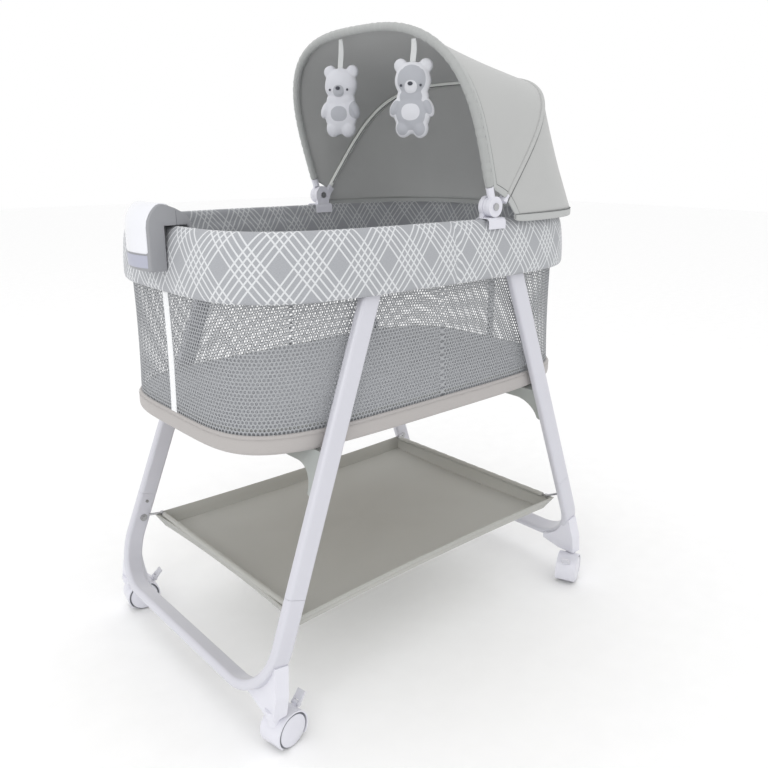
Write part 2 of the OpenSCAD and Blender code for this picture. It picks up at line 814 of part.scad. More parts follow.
// Clip over the rim with the fixed disc of a hub
module canopy_clip(side) {
    tab_bottom = 738;
    t = 1.6;
    y_out = 243.4;
    y_in = 215.6;
    r = 6;
    fixed_r = 17.5;
    seated() color("ghostwhite") {
        difference() {
            union() {
                disc(fixed_disc, side, fixed_r);
                translate([hub_x - 14, side > 0 ? fixed_disc[0] : -fixed_disc[1], saddle[0]])
                    cube([28, fixed_disc[1] - fixed_disc[0], 10]);
            }
            translate([hub_x - 30, side * 230 - 20, 700]) cube([60, 40, saddle[0] - 700]);
            translate([hub_x, side * 230, hub_z]) rotate([90, 0, 0])
                cylinder(r = hub_pin_r, h = 60, center = true);
        }
        translate([hub_x + clip_w / 2, 0, 0]) rotate([0, -90, 0]) linear_extrude(clip_w)
            mirror([0, side < 0 ? 1 : 0]) difference() {
                translate([(tab_bottom + saddle[1]) / 2, (y_in - t + y_out + t) / 2])
                    rounded(saddle[1] - tab_bottom, y_out - y_in + 2 * t, r + t);
                translate([(tab_bottom + saddle[0]) / 2 - 10, (y_in + y_out) / 2])
                    rounded(saddle[0] - tab_bottom + 20, y_out - y_in, r);
                translate([tab_bottom - 20, y_in - 10]) square([20 + r, 60]);
            }
    }
}

// Rivets through the hubs
module hub_pins() {
    head_r = 6;
    seated() color("silver") for (side = [front, back]) {
        disc([fixed_disc[0] - 1.5, fixed_disc[0]], side, head_r);
        disc([fixed_disc[0], hoop_disc[1] + 0.3], side, hub_pin_r);
        disc([hoop_disc[1] + 0.3, hoop_disc[1] + 2], side, head_r);
    }
}

// Rear bow rod with its two pivot discs
module canopy_bow() {
    arm_low = 9.8;
    color("whitesmoke") {
        hub_plane(bow_angle, bow_offset) sweep(bow_path(bow_start), bow_rod_r, 10, false);
        difference() {
            union() {
                for (side = [front, back]) {
                    seated() disc(bow_disc, side, disc_r);
                    hub_plane(bow_angle, bow_offset) translate([
                        side * (bow_disc[0] + bow_disc[1]) / 2 - 2.5, arm_low, -5]) cube([5, bow_start + 3 - arm_low, 10]);
                    hub_plane(bow_angle, bow_offset) translate([side * bow_half, bow_start + 0.5, 0])
                        rotate([90, 0, 0]) cylinder(r = 4.4, h = 7);
                    hub_plane(bow_angle, bow_offset) translate([
                        side * (bow_disc[1] + 2.8) - 5, bow_start - 6.5, -4.4]) cube([10, 7, 8.8]);
                }
            }
            seated() translate([hub_x, 0, hub_z]) rotate([90, 0, 0])
                cylinder(r = hub_pin_r + running, h = 600, center = true);
        }
    }
}

// Front hoop tube
module canopy_hoop() {
    color("silver") hub_plane(hoop_angle, 0) sweep(hoop_path(20), hoop_tube_r, 10, false);
}

// Fabric sleeve round the front hoop
module hoop_sleeve() {
    color("darkgray") hub_plane(hoop_angle, 0)
        sweep(hoop_path(sleeve_start), sleeve_r, 12, false, hoop_tube_r + 0.4);
}

// Turning discs with the sockets that hold the hoop's ends
module hoop_sockets() {
    socket_r = 6.4;
    y_mid = (hoop_disc[0] + hoop_disc[1]) / 2;
    color("ghostwhite") difference() {
        for (side = [front, back]) {
            seated() disc(hoop_disc, side, disc_r);
            hub_plane(hoop_angle, 0) intersection() {
                translate([side * hoop_half, sleeve_start - 0.5, 0]) rotate([90, 0, 0])
                    cylinder(r = socket_r, h = sleeve_start - 10);
                translate([side * y_mid - hoop_disc[1], -10, -20])
                    cube([2 * hoop_disc[1], 60, 40]);
            }
        }
        for (side = [front, back]) {
            hub_plane(hoop_angle, 0) translate([side * hoop_half, sleeve_start + 5, 0])
                rotate([90, 0, 0]) cylinder(r = hoop_tube_r + 0.1, h = sleeve_start - 14);
            seated() translate([hub_x - 30, side > 0 ? 200 : -hoop_disc[0], hub_z - 30])
                cube([60, hoop_disc[0] - 200, 60 - 13]);
        }
        seated() translate([hub_x, 0, hub_z]) rotate([90, 0, 0])
            cylinder(r = hub_pin_r + running, h = 600, center = true);
    }
}

// ---------- canopy cloth ----------

// Point of a hoop plane in space
function hub_point(p, angle, offset) = [
    hub_x + p.y * cos(angle) + offset * sin(angle), p.x, hub_z + p.y * sin(angle) - offset * cos(angle)];

function hoop_line(grow) = [for (p = hoop_path(sleeve_start, grow)) hub_point(p, hoop_angle, 0)];
function bow_line(grow) = [for (p = bow_path(bow_start, grow)) hub_point(p, bow_angle, bow_offset)];
function towards(a, b, gap, foot_gap) = [for (k = [0:len(a) - 1])
    a[k] + (b[k] - a[k]) * (k < 2 || k > len(a) - 3 ? foot_gap : gap) / norm(b[k] - a[k])];

hem_start = 83;
hem_l = 396;
hem_w = 249;
hem_z = [753, 765.5];
function hem_line(grow) = [for (i = [0:arch_steps + 2]) let (t = hem_start * (1 - 2 * i / (arch_steps + 2)),
    q = outline_at(t, hem_l + grow, hem_w + grow, rim_n)) [q.x, q.y, hem_z[1] + 0.6]];

// Cloth between the front hoop and the rear bow
module canopy_front_panel() {
    hoop_gap = 9.5;
    foot_gap = 17;
    bow_gap = 5;
    cloth = 1.5;
    a = hoop_line(2);
    b = bow_line(2);
    c = hoop_line(2 - cloth);
    d = bow_line(2 - cloth);
    seated() color("silver") sheet(towards(a, b, hoop_gap, foot_gap), towards(b, a, bow_gap, bow_gap),
                                   towards(c, d, hoop_gap, foot_gap), towards(d, c, bow_gap, bow_gap), 4);
}

// Cloth between the rear bow and the hem
module canopy_rear_panel() {
    bow_gap = 5;
    cloth = 1.5;
    a = bow_line(2);
    b = hem_line(cloth);
    c = bow_line(2 - cloth);
    d = hem_line(0);
    seated() color("silver") sheet(towards(a, b, bow_gap, bow_gap), b, towards(c, d, bow_gap, bow_gap), d, 4);
}

// Stiff bound edge round the head end of the rim
module canopy_hem() {
    hem_t = 3;
    x_start = hem_line(0)[0].x;
    seated() color("darkgray") intersection() {
        translate([0, 0, hem_z[0]]) linear_extrude(hem_z[1] - hem_z[0]) difference() {
            polygon(outline(hem_l + hem_t, hem_w + hem_t, rim_n));
            polygon(outline(hem_l, hem_w, rim_n));
        }
        translate([x_start, -300, 700]) cube([400, 600, 100]);
    }
}

// ---------- hanging toys ----------

bear_turn = 30;
toy_x = hub_x + (hoop_h - 8) * cos(hoop_angle);

// Soft toy with its ribbon, hung from the hoop
module bear(y, top_z, drop, tint) {
    ribbon_w = 9;
    body_t = 28;
    color(tint) seated() translate([toy_x, y, 0]) {
        translate([-0.75, -ribbon_w / 2, top_z - drop - 8]) cube([1.5, ribbon_w, drop + 8]);
        translate([0, 0, top_z - drop]) rotate([0, 0, bear_turn]) translate([body_t / 2, 0, 0])
            rotate([0, -90, 0]) linear_extrude(body_t) union() {
                translate([-30, 0]) circle(r = 29);
                translate([-74, 0]) circle(r = 32);
                translate([-52, 0]) square([44, 46], center = true);
                for (s = [-1, 1]) {
                    translate([-9, s * 22]) circle(r = 11);
                    translate([-62, s * 28]) circle(r = 9);
                    translate([-104, s * 13]) circle(r = 11);
                }
            }
    }
}

module bear_white() { bear(47, 1046, 41, "whitesmoke"); }
module bear_grey() { bear(-133, 1030, 28, "lightgray"); }

// ---------- one line for each sub-part ----------

lower_frame(foot);  // lower_frame_foot
lower_frame(head);  // lower_frame_head
upper_leg(foot, front);  // upper_leg_foot_front
upper_leg(foot, back);  // upper_leg_foot_back
upper_leg(head, front);  // upper_leg_head_front
upper_leg(head, back);  // upper_leg_head_back
snap_button(foot, front);  // snap_button_foot_front
snap_button(foot, back);  // snap_button_foot_back
snap_button(head, front);  // snap_button_head_front
snap_button(head, back);  // snap_button_head_back
cross_beam(foot);  // cross_beam_foot
cross_beam(head);  // cross_beam_head
frame_screws();
caster_sockets();
caster_hood(foot, front);  // caster_hood_foot_front
caster_hood(foot, back);  // caster_hood_foot_back
caster_hood(head, front);  // caster_hood_head_front
caster_hood(head, back);  // caster_hood_head_back
caster_wheels(foot, front);  // caster_wheels_foot_front
caster_wheels(foot, back);  // caster_wheels_foot_back
caster_wheels(head, front);  // caster_wheels_head_front
caster_wheels(head, back);  // caster_wheels_head_back
brake_pedal(foot, front);  // brake_pedal_foot_front
brake_pedal(foot, back);  // brake_pedal_foot_back
brake_pedal(head, front);  // brake_pedal_head_front
brake_pedal(head, back);  // brake_pedal_head_back
rim_tube(foot);  // rim_tube_foot
rim_tube(head);  // rim_tube_head
rim_connectors();
rim_band();
mesh_wall();
seam_tapes();
base_band();
base_tube();
base_board();
mattress();
shelf_cloth();
shelf_rods();
unit_case();
unit_hook();
unit_fascia();
battery_door();
battery_cells();
circuit_board();
vibration_motor();
eccentric_weight();
power_button();
canopy_clip(front);  // canopy_clip_front
canopy_clip(back);  // canopy_clip_back
hub_pins();
canopy_hem();
canopy_rear_panel();
canopy_bow();
canopy_front_panel();
canopy_hoop();
hoop_sleeve();
hoop_sockets();
bear_white();
bear_grey();
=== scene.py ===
"""Bassinet on a caster stand, with a folding canopy, two hanging toys and a vibration unit.

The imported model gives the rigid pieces. This script gives them their finishes and builds the
soft goods: the printed rim band, the net wall, the mattress, the shelf and the canopy.
"""

import json
import logging
import math
from dataclasses import dataclass, field, replace
from enum import Enum
from typing import Dict, List, Optional, Sequence, Tuple

import bmesh
import bpy
import numpy as np
from mathutils import Matrix, Vector, noise


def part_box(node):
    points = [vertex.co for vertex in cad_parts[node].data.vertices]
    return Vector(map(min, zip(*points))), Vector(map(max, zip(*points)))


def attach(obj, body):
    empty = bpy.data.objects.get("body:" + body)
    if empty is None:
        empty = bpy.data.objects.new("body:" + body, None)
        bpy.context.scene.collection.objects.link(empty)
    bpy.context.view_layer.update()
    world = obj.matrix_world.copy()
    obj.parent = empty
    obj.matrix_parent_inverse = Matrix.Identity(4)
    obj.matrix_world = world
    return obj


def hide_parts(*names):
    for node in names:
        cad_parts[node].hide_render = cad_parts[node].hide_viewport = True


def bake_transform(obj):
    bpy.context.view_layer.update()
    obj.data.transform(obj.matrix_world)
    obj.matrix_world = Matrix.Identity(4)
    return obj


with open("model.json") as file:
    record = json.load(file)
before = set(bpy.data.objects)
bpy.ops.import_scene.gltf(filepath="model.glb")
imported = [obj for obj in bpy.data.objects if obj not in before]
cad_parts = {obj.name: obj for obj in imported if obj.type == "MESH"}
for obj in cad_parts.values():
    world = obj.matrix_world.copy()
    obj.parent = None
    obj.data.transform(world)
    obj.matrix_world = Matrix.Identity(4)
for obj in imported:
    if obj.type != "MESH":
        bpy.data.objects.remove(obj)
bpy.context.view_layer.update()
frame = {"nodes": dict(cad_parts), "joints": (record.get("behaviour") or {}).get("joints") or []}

LOG = logging.getLogger("bassinet")
MM = 0.001

Pair = Tuple[float, float]
Triple = Tuple[float, float, float]
Colour = Tuple[float, float, float, float]


class Side(Enum):
    """The two long sides, by the sign of y."""

    FRONT = -1
    BACK = 1


class End(Enum):
    """The two ends, by the sign of x."""

    FOOT = -1
    HEAD = 1


class Coords(Enum):
    """Where a pattern takes its coordinates from."""

    OBJECT = "Object"
    UV = "UV"


def tone(red: int, green: int, blue: int) -> Colour:
    """Turn a screen colour into the linear colour that shaders use.

    Args:
        red: Red, 0 to 255.
        green: Green, 0 to 255.
        blue: Blue, 0 to 255.

    Returns:
        Linear red, green, blue and an alpha of 1.
    """
    shares = [c / 255 for c in (red, green, blue)]
    linear = [c / 12.92 if c <= 0.04 else ((c + 0.055) / 1.055) ** 2.4 for c in shares]
    return (*linear, 1.0)


def scaled(color: Colour, factor: float) -> Colour:
    """Make a linear colour darker or lighter, no channel above 1."""
    return (*(min(1.0, c * factor) for c in color[:3]), 1.0)


# ---------- finishes ----------


class NodeBench:
    """Lays out the nodes of one material."""

    def __init__(self, name: str) -> None:
        """Start a material with a shader and its output.

        Args:
            name: The material's name.
        """
        self.material = bpy.data.materials.new(name)
        self.material.use_nodes = True
        self.tree = self.material.node_tree
        self.tree.nodes.clear()
        self.shader = self.add("ShaderNodeBsdfPrincipled")
        output = self.add("ShaderNodeOutputMaterial")
        self.tree.links.new(self.shader.outputs["BSDF"], output.inputs["Surface"])

    def add(self, kind: str) -> bpy.types.Node:
        """Add a node of a kind."""
        return self.tree.nodes.new(kind)

    def plug(self, value: object, socket: bpy.types.NodeSocket) -> None:
        """Give a socket a number, a colour or another node's output."""
        if isinstance(value, bpy.types.NodeSocket):
            self.tree.links.new(value, socket)
        else:
            socket.default_value = value

    def math(self, operation: str, *values: object) -> bpy.types.NodeSocket:
        """Work out one number from others.

        Args:
            operation: Blender's name of the operation.
            *values: Numbers or outputs.

        Returns:
            The result's socket.
        """
        node = self.add("ShaderNodeMath")
        node.operation = operation
        for value, socket in zip(values, node.inputs):
            self.plug(value, socket)
        return node.outputs[0]

    def mix(self, share: object, low: object, high: object) -> bpy.types.NodeSocket:
        """Mix two colours.

        Args:
            share: How much of the second colour, 0 to 1.
            low: First colour.
            high: Second colour.

        Returns:
            The mixed colour's socket.
        """
        node = self.add("ShaderNodeMix")
        node.data_type = "RGBA"
        self.plug(share, node.inputs[0])
        self.plug(low, node.inputs[6])
        self.plug(high, node.inputs[7])
        return node.outputs[2]

    def set(self, **settings: object) -> None:
        """Set shader inputs, named in lower case with underscores for spaces."""
        for key, value in settings.items():
            self.plug(value, self.shader.inputs[key.replace("_", " ").title()])

    def coords(self, kind: Coords) -> bpy.types.NodeSocket:
        """Coordinates of the chosen kind."""
        return self.add("ShaderNodeTexCoord").outputs[kind.value]

    def split(self, vector: bpy.types.NodeSocket) -> Sequence[bpy.types.NodeSocket]:
        """Split a vector into x, y and z."""
        node = self.add("ShaderNodeSeparateXYZ")
        self.plug(vector, node.inputs[0])
        return node.outputs

    def noise(self, vector: bpy.types.NodeSocket, scale: float, detail: float = 3.0) -> bpy.types.NodeSocket:
        """Soft noise over a surface.

        Args:
            vector: Coordinates in metres.
            scale: Lumps per metre.
            detail: Octaves.

        Returns:
            The noise's socket, about 0 to 1.
        """
        node = self.add("ShaderNodeTexNoise")
        self.plug(vector, node.inputs["Vector"])
        node.inputs["Scale"].default_value = scale
        node.inputs["Detail"].default_value = detail
        return node.outputs[0]

    def bump(self, height: object, strength: float, distance: float) -> None:
        """Press a height into the shader's normal.

        Args:
            height: Height's socket, 0 to 1.
            strength: Share of the effect.
            distance: Depth in metres.
        """
        node = self.add("ShaderNodeBump")
        node.inputs["Strength"].default_value = strength
        node.inputs["Distance"].default_value = distance
        self.plug(height, node.inputs["Height"])
        self.tree.links.new(node.outputs[0], self.shader.inputs["Normal"])

    def weave(self, vector: bpy.types.NodeSocket, pitch: float) -> bpy.types.NodeSocket:
        """Height of a plain weave.

        Args:
            vector: Coordinates in metres, x along one yarn and y along the other.
            pitch: Distance between yarns in metres.

        Returns:
            The height's socket, 0 to 1.
        """
        x, y, z = self.split(vector)
        turn = 2 * math.pi / pitch
        across = self.math("SINE", self.math("MULTIPLY", self.math("ADD", x, self.math("MULTIPLY", z, 0.37)), turn))
        along = self.math("SINE", self.math("MULTIPLY", self.math("ADD", y, self.math("MULTIPLY", z, 0.71)), turn))
        return self.math("MULTIPLY_ADD", self.math("MULTIPLY", across, along), 0.5, 0.5)


class Finish:
    """A finish that can dress any piece. Each kind says how in dress."""

    name: str

    def dress(self, bench: NodeBench) -> None:
        """Lay out this finish's nodes."""
        raise NotImplementedError

    def material(self) -> bpy.types.Material:
        """The finish's material, made once."""
        found = bpy.data.materials.get(self.name)
        if found is not None:
            return found
        bench = NodeBench(self.name)
        self.dress(bench)
        return bench.material


@dataclass(frozen=True)
class PaintedTube(Finish):
    """Powder coat on steel tube: an even colour with a faint orange peel."""

    name: str
    color: Colour
    roughness: float = 0.32

    def dress(self, bench: NodeBench) -> None:
        """Lay out this finish's nodes."""
        place = bench.coords(Coords.OBJECT)
        cloud = bench.noise(place, 14.0)
        darker = scaled(self.color, 0.955)
        bench.set(base_color=bench.mix(cloud, darker, self.color))
        bench.set(roughness=bench.math("MULTIPLY_ADD", cloud, 0.08, self.roughness - 0.04))
        bench.set(coat_weight=0.25)
        bench.set(coat_roughness=0.18)
        bench.bump(bench.noise(place, 900.0, 2.0), 0.12, 0.0002)


@dataclass(frozen=True)
class MouldedPlastic(Finish):
    """Injection-moulded plastic with a fine spark-eroded grain."""

    name: str
    color: Colour
    roughness: float = 0.42
    grain: float = 0.2
    gloss: float = 0.0

    def dress(self, bench: NodeBench) -> None:
        """Lay out this finish's nodes."""
        place = bench.coords(Coords.OBJECT)
        cloud = bench.noise(place, 22.0)
        darker = scaled(self.color, 0.95)
        bench.set(base_color=bench.mix(cloud, darker, self.color))
        bench.set(roughness=bench.math("MULTIPLY_ADD", cloud, 0.06, self.roughness - 0.03))
        bench.set(coat_weight=self.gloss)
        bench.set(coat_roughness=0.08)
        bench.bump(bench.noise(place, 2400.0, 2.0), self.grain, 0.00012)


@dataclass(frozen=True)
class DrawnSteel(Finish):
    """Plated steel with fine draw lines."""

    name: str
    color: Colour
    roughness: float = 0.3

    def dress(self, bench: NodeBench) -> None:
        """Lay out this finish's nodes."""
        place = bench.coords(Coords.OBJECT)
        stretch = bench.add("ShaderNodeMapping")
        stretch.inputs["Scale"].default_value = (60.0, 60.0, 900.0)
        bench.plug(place, stretch.inputs["Vector"])
        lines = bench.noise(stretch.outputs[0], 2.0)
        bench.set(metallic=1.0)
        darker = scaled(self.color, 0.8)
        bench.set(base_color=bench.mix(lines, darker, self.color))
        bench.set(roughness=bench.math("MULTIPLY_ADD", lines, 0.2, self.roughness - 0.1))
        bench.bump(lines, 0.1, 0.0001)


@dataclass(frozen=True)
class WovenCloth(Finish):
    """Plain-woven cloth: yarns, slubs and a soft sheen."""

    name: str
    color: Colour
    pitch: float = 0.0011
    mottle: float = 0.08
    strength: float = 0.35
    sheen: float = 0.25
    source: Coords = Coords.UV

    def dress(self, bench: NodeBench) -> None:
        """Lay out this finish's nodes."""
        place = bench.coords(self.source)
        slub = bench.noise(place, 420.0)
        cloud = bench.noise(place, 9.0)
        both = bench.math("MULTIPLY_ADD", slub, 0.55, bench.math("MULTIPLY", cloud, 0.45))
        darker = scaled(self.color, 1 - 2 * self.mottle)
        lighter = scaled(self.color, 1 + self.mottle)
        bench.set(base_color=bench.mix(both, darker, lighter))
        bench.set(roughness=0.82)
        bench.set(sheen_weight=self.sheen)
        bench.set(sheen_roughness=0.5)
        yarns = bench.weave(place, self.pitch)
        height = bench.math("MULTIPLY_ADD", slub, 0.4, bench.math("MULTIPLY", yarns, 0.6))
        bench.bump(height, self.strength, 0.0004)


@dataclass(frozen=True)
class LatticePrint(Finish):
    """Heathered jersey with two families of pale crossing lines, in groups.

    The piece's UV map holds metres: x along the band, y up it.
    """

    name: str
    ground: Colour
    heather: Colour
    line: Colour
    period: float
    rise: float
    start: float
    level: float
    spacing: float = 0.1375
    half_line: float = 0.135
    reach: float = 2.5

    def family(self, bench: NodeBench, place: bpy.types.NodeSocket) -> bpy.types.NodeSocket:
        """Mask of one family of lines.

        Args:
            bench: Where the nodes go.
            place: Position across the lines, in periods.

        Returns:
            1 on a line and 0 off it.
        """
        inside = bench.math("SUBTRACT", bench.math("FRACT", bench.math("ADD", place, 0.5)), 0.5)
        steps = bench.math("DIVIDE", bench.math("ABSOLUTE", inside), self.spacing)
        off = bench.math("ABSOLUTE", bench.math("SUBTRACT", steps, bench.math("ROUND", steps)))
        on_line = bench.math("LESS_THAN", off, self.half_line)
        return bench.math("MULTIPLY", on_line, bench.math("LESS_THAN", steps, self.reach))

    def dress(self, bench: NodeBench) -> None:
        """Lay out this finish's nodes."""
        place = bench.coords(Coords.UV)
        x, y, _ = bench.split(place)
        along = bench.math("DIVIDE", bench.math("SUBTRACT", x, self.start), self.period)
        up = bench.math("DIVIDE", bench.math("SUBTRACT", y, self.level), self.rise)
        lines = bench.math("MAXIMUM", self.family(bench, bench.math("ADD", along, up)),
                           self.family(bench, bench.math("SUBTRACT", along, up)))
        stretch = bench.add("ShaderNodeMapping")
        stretch.inputs["Scale"].default_value = (420.0, 1300.0, 1.0)
        bench.plug(place, stretch.inputs["Vector"])
        yarn = bench.noise(stretch.outputs[0], 1.0, 4.0)
        contrast = bench.math("MULTIPLY_ADD", bench.math("SUBTRACT", yarn, 0.5), 2.2, 0.5)
        clamp = bench.math("MINIMUM", bench.math("MAXIMUM", contrast, 0.0), 1.0)
        cloth = bench.mix(clamp, self.ground, self.heather)
        bench.set(base_color=bench.mix(bench.math("MULTIPLY", lines, 0.93), cloth, self.line))
        bench.set(roughness=0.85)
        bench.set(sheen_weight=0.2)
        bench.set(sheen_roughness=0.5)
        height = bench.math("MULTIPLY_ADD", lines, 0.3, bench.math("MULTIPLY", yarn, 0.6))
        bench.bump(height, 0.35, 0.0005)


@dataclass(frozen=True)
class ToyPatch:
    """An oval of appliqued cloth on a toy's face or body, in the toy's own plane, in millimetres."""

    across: float
    up: float
    half_width: float
    half_height: float
    dark: bool = True


@dataclass(frozen=True)
class ToyPlush(Finish):
    """Short-pile plush in two tones, with appliqued ovals on the front."""

    name: str
    pile: Colour
    second: Colour
    centre: Triple
    turn: float
    patches: Tuple[ToyPatch, ...]
    front_panel: bool = False

    def dress(self, bench: NodeBench) -> None:
        """Lay out this finish's nodes."""
        place = bench.coords(Coords.OBJECT)
        shift = bench.add("ShaderNodeVectorMath")
        shift.operation = "SUBTRACT"
        bench.plug(place, shift.inputs[0])
        shift.inputs[1].default_value = self.centre
        turned = bench.add("ShaderNodeMapping")
        turned.inputs["Rotation"].default_value = (0.0, 0.0, -self.turn)
        bench.plug(shift.outputs[0], turned.inputs["Vector"])
        depth, across, up = bench.split(turned.outputs[0])
        front = bench.math("LESS_THAN", depth, -0.001)
        second = bench.math("LESS_THAN", depth, -0.0085) if self.front_panel else 0.0
        wobble = bench.math("MULTIPLY", bench.math("SUBTRACT", bench.noise(place, 90.0), 0.5), 0.12)
        mask = second
        for patch in self.patches:
            dx = bench.math("DIVIDE", bench.math("SUBTRACT", across, patch.across * MM), patch.half_width * MM)
            dz = bench.math("DIVIDE", bench.math("SUBTRACT", up, patch.up * MM), patch.half_height * MM)
            far = bench.math("SQRT", bench.math("ADD", bench.math("POWER", bench.math("ABSOLUTE", dx), 2.3),
                                                bench.math("POWER", bench.math("ABSOLUTE", dz), 2.3)))
            inside = bench.math("MULTIPLY", bench.math("LESS_THAN", bench.math("ADD", far, wobble), 1.0), front)
            if patch.dark:
                mask = bench.math("MAXIMUM", mask, inside)
            else:
                mask = bench.math("MULTIPLY", mask, bench.math("SUBTRACT", 1.0, inside))
        fluff = bench.noise(place, 1500.0, 4.0)
        base = bench.mix(mask, self.pile, self.second)
        shaded = bench.mix(bench.math("MULTIPLY", fluff, 0.16), base, (0.35, 0.36, 0.40, 1.0))
        bench.set(base_color=shaded)
        bench.set(roughness=0.95)
        bench.set(sheen_weight=0.5)
        bench.set(sheen_roughness=0.4)
        bench.bump(fluff, 0.5, 0.0008)


@dataclass(frozen=True)
class FibreBoard(Finish):
    """Pressed fibre board with short fibres."""

    name: str
    color: Colour

    def dress(self, bench: NodeBench) -> None:
        """Lay out this finish's nodes."""
        place = bench.coords(Coords.OBJECT)
        fibre = bench.noise(place, 320.0, 6.0)
        darker = scaled(self.color, 0.62)
        bench.set(base_color=bench.mix(fibre, darker, self.color))
        bench.set(roughness=0.8)
        bench.bump(fibre, 0.3, 0.0004)


WHITE_PAINT = PaintedTube("white_powder_coat", tone(206, 206, 214))
WHITE_PLASTIC = MouldedPlastic("white_caster_plastic", tone(222, 222, 230), 0.36, 0.1, 0.2)
WEB_PLASTIC = MouldedPlastic("white_web_plastic", tone(218, 218, 226), 0.4, 0.12, 0.1)
TREAD = MouldedPlastic("grey_wheel_tread", tone(120, 122, 128), 0.6, 0.3)
PEDAL_PLASTIC = MouldedPlastic("pale_pedal_plastic", tone(214, 214, 220), 0.45, 0.2)
BEAM_PLASTIC = MouldedPlastic("grey_beam_plastic", tone(166, 170, 168), 0.5, 0.3)
STEEL = DrawnSteel("plated_steel", tone(190, 190, 192))
CASE_PLASTIC = MouldedPlastic("grey_case_plastic", tone(148, 149, 153), 0.45, 0.25)
COVER_PLASTIC = MouldedPlastic("gloss_white_cover", tone(228, 229, 234), 0.2, 0.03, 0.5)
GROOVE_PLASTIC = MouldedPlastic("dark_parting_line", tone(112, 113, 118), 0.6, 0.1)
KEY_PLASTIC = MouldedPlastic("blue_grey_key", tone(172, 174, 189), 0.4, 0.2)
CELL_WRAP = MouldedPlastic("cell_wrap", tone(70, 110, 70), 0.3, 0.02, 0.4)
BOARD_LACQUER = MouldedPlastic("green_board_lacquer", tone(30, 100, 60), 0.35, 0.6)
FIBRE_BOARD = FibreBoard("base_fibre_board", tone(170, 150, 120))
NET_YARN = WovenCloth("net_yarn", tone(164, 166, 169), 0.0009, 0.08, 0.4, 0.1, Coords.OBJECT)
CANOPY_OUTSIDE = WovenCloth("canopy_cloth_outside", tone(180, 181, 180), 0.0012, 0.03, 0.3, 0.25)
# The inside cloth is much lighter than the outside: painted light shining through the canopy.
CANOPY_INSIDE_PAINTED_LIGHT = WovenCloth("canopy_cloth_inside", tone(240, 242, 238), 0.0012, 0.03, 0.3, 0.1)
BINDING = WovenCloth("canopy_binding", tone(178, 180, 179), 0.0009, 0.03, 0.4, 0.3)
SEAM_THREAD = WovenCloth("dark_seam_thread", tone(112, 114, 114), 0.0008, 0.1, 0.5, 0.0)
SLEEVE_CLOTH = WovenCloth("hoop_sleeve_cloth", tone(168, 170, 169), 0.0010, 0.04, 0.4, 0.35)
BASE_CLOTH = WovenCloth("beige_base_cloth", tone(176, 172, 170), 0.0009, 0.04, 0.25, 0.2)
SHELF_CLOTH = WovenCloth("warm_grey_shelf_cloth", tone(178, 178, 173), 0.0013, 0.05, 0.35, 0.2)
PAD_CLOTH = WovenCloth("mattress_ticking", tone(182, 184, 189), 0.0012, 0.06, 0.4, 0.2)
TAPE_CLOTH = WovenCloth("white_seam_tape", tone(240, 241, 243), 0.0010, 0.04, 0.4, 0.2)
RIBBON_CLOTH = WovenCloth("pale_ribbon", tone(205, 207, 207), 0.0010, 0.05, 0.5, 0.2)
EMBROIDERY = WovenCloth("dark_embroidery", tone(70, 72, 80), 0.0007, 0.1, 0.5, 0.0, Coords.OBJECT)


# ---------- shapes ----------


def placed(mesh: bpy.types.Mesh) -> bpy.types.Object:
    """Put a mesh in the scene as a piece of the same name."""
    piece = bpy.data.objects.new(mesh.name, mesh)
    bpy.context.scene.collection.objects.link(piece)
    return piece


def merge_close(piece: bpy.types.Object, distance: float) -> None:
    """Merge a piece's vertices that are nearer than a distance in metres."""
    take(piece)
    bpy.ops.object.mode_set(mode="EDIT")
    bpy.ops.mesh.select_all(action="SELECT")
    bpy.ops.mesh.remove_doubles(threshold=distance)
    bpy.ops.object.mode_set(mode="OBJECT")


def take(piece: bpy.types.Object) -> None:
    """Select one piece alone and make it active."""
    bpy.ops.object.select_all(action="DESELECT")
    piece.select_set(True)
    bpy.context.view_layer.objects.active = piece


def finish_with(piece: bpy.types.Object, kind: str, **settings: object) -> None:
    """Add a modifier to a piece and apply it.

    Args:
        piece: The piece.
        kind: Blender's name of the modifier.
        **settings: The modifier's own settings.
    """
    take(piece)
    modifier = piece.modifiers.new(kind.lower(), kind)
    for key, value in settings.items():
        setattr(modifier, key, value)
    bpy.ops.object.modifier_apply(modifier=modifier.name)


def dressed(piece: bpy.types.Object, slot: str, *finishes: Finish) -> bpy.types.Object:
    """Give a piece its finishes as its materials.

    Args:
        piece: The piece.
        slot: Name of the record's slot; not used.
        *finishes: The piece's materials in order.

    Returns:
        The same piece.
    """
    piece.data.materials.clear()
    for finish in finishes:
        piece.data.materials.append(finish.material())
    LOG.info("made %s", piece.name)
    return piece


def lengths_along(points: np.ndarray) -> np.ndarray:
    """Distance travelled along a line of points.

    Args:
        points: Points in order.

    Returns:
        The distance at each point, starting at 0.
    """
    steps = np.linalg.norm(np.diff(points, axis=0), axis=1)
    return np.concatenate([[0.0], np.cumsum(steps)])


def resample(points: np.ndarray, count: int) -> np.ndarray:
    """Space points evenly along a line.

    Args:
        points: Points in order.
        count: How many to return.

    Returns:
        The new points.
    """
    travelled = lengths_along(points)
    marks = np.linspace(0, travelled[-1], count)
    return np.stack([np.interp(marks, travelled, points[:, k]) for k in range(points.shape[1])], axis=1)


def rounded_line(points: Sequence[Sequence[float]], count: int, passes: int = 2) -> np.ndarray:
    """Round the corners of a line by cutting them, then space it evenly.

    Args:
        points: Corner points.
        count: How many points to return.
        passes: How often the corners are cut.

    Returns:
        The rounded line.
    """
    line = np.array(points, float)
    for _ in range(passes):
        near = line[:-1] * 0.75 + line[1:] * 0.25
        far = line[:-1] * 0.25 + line[1:] * 0.75
        middle = np.stack([near, far], axis=1).reshape(-1, line.shape[1])
        line = np.concatenate([line[:1], middle, line[-1:]])
    return resample(line, count)


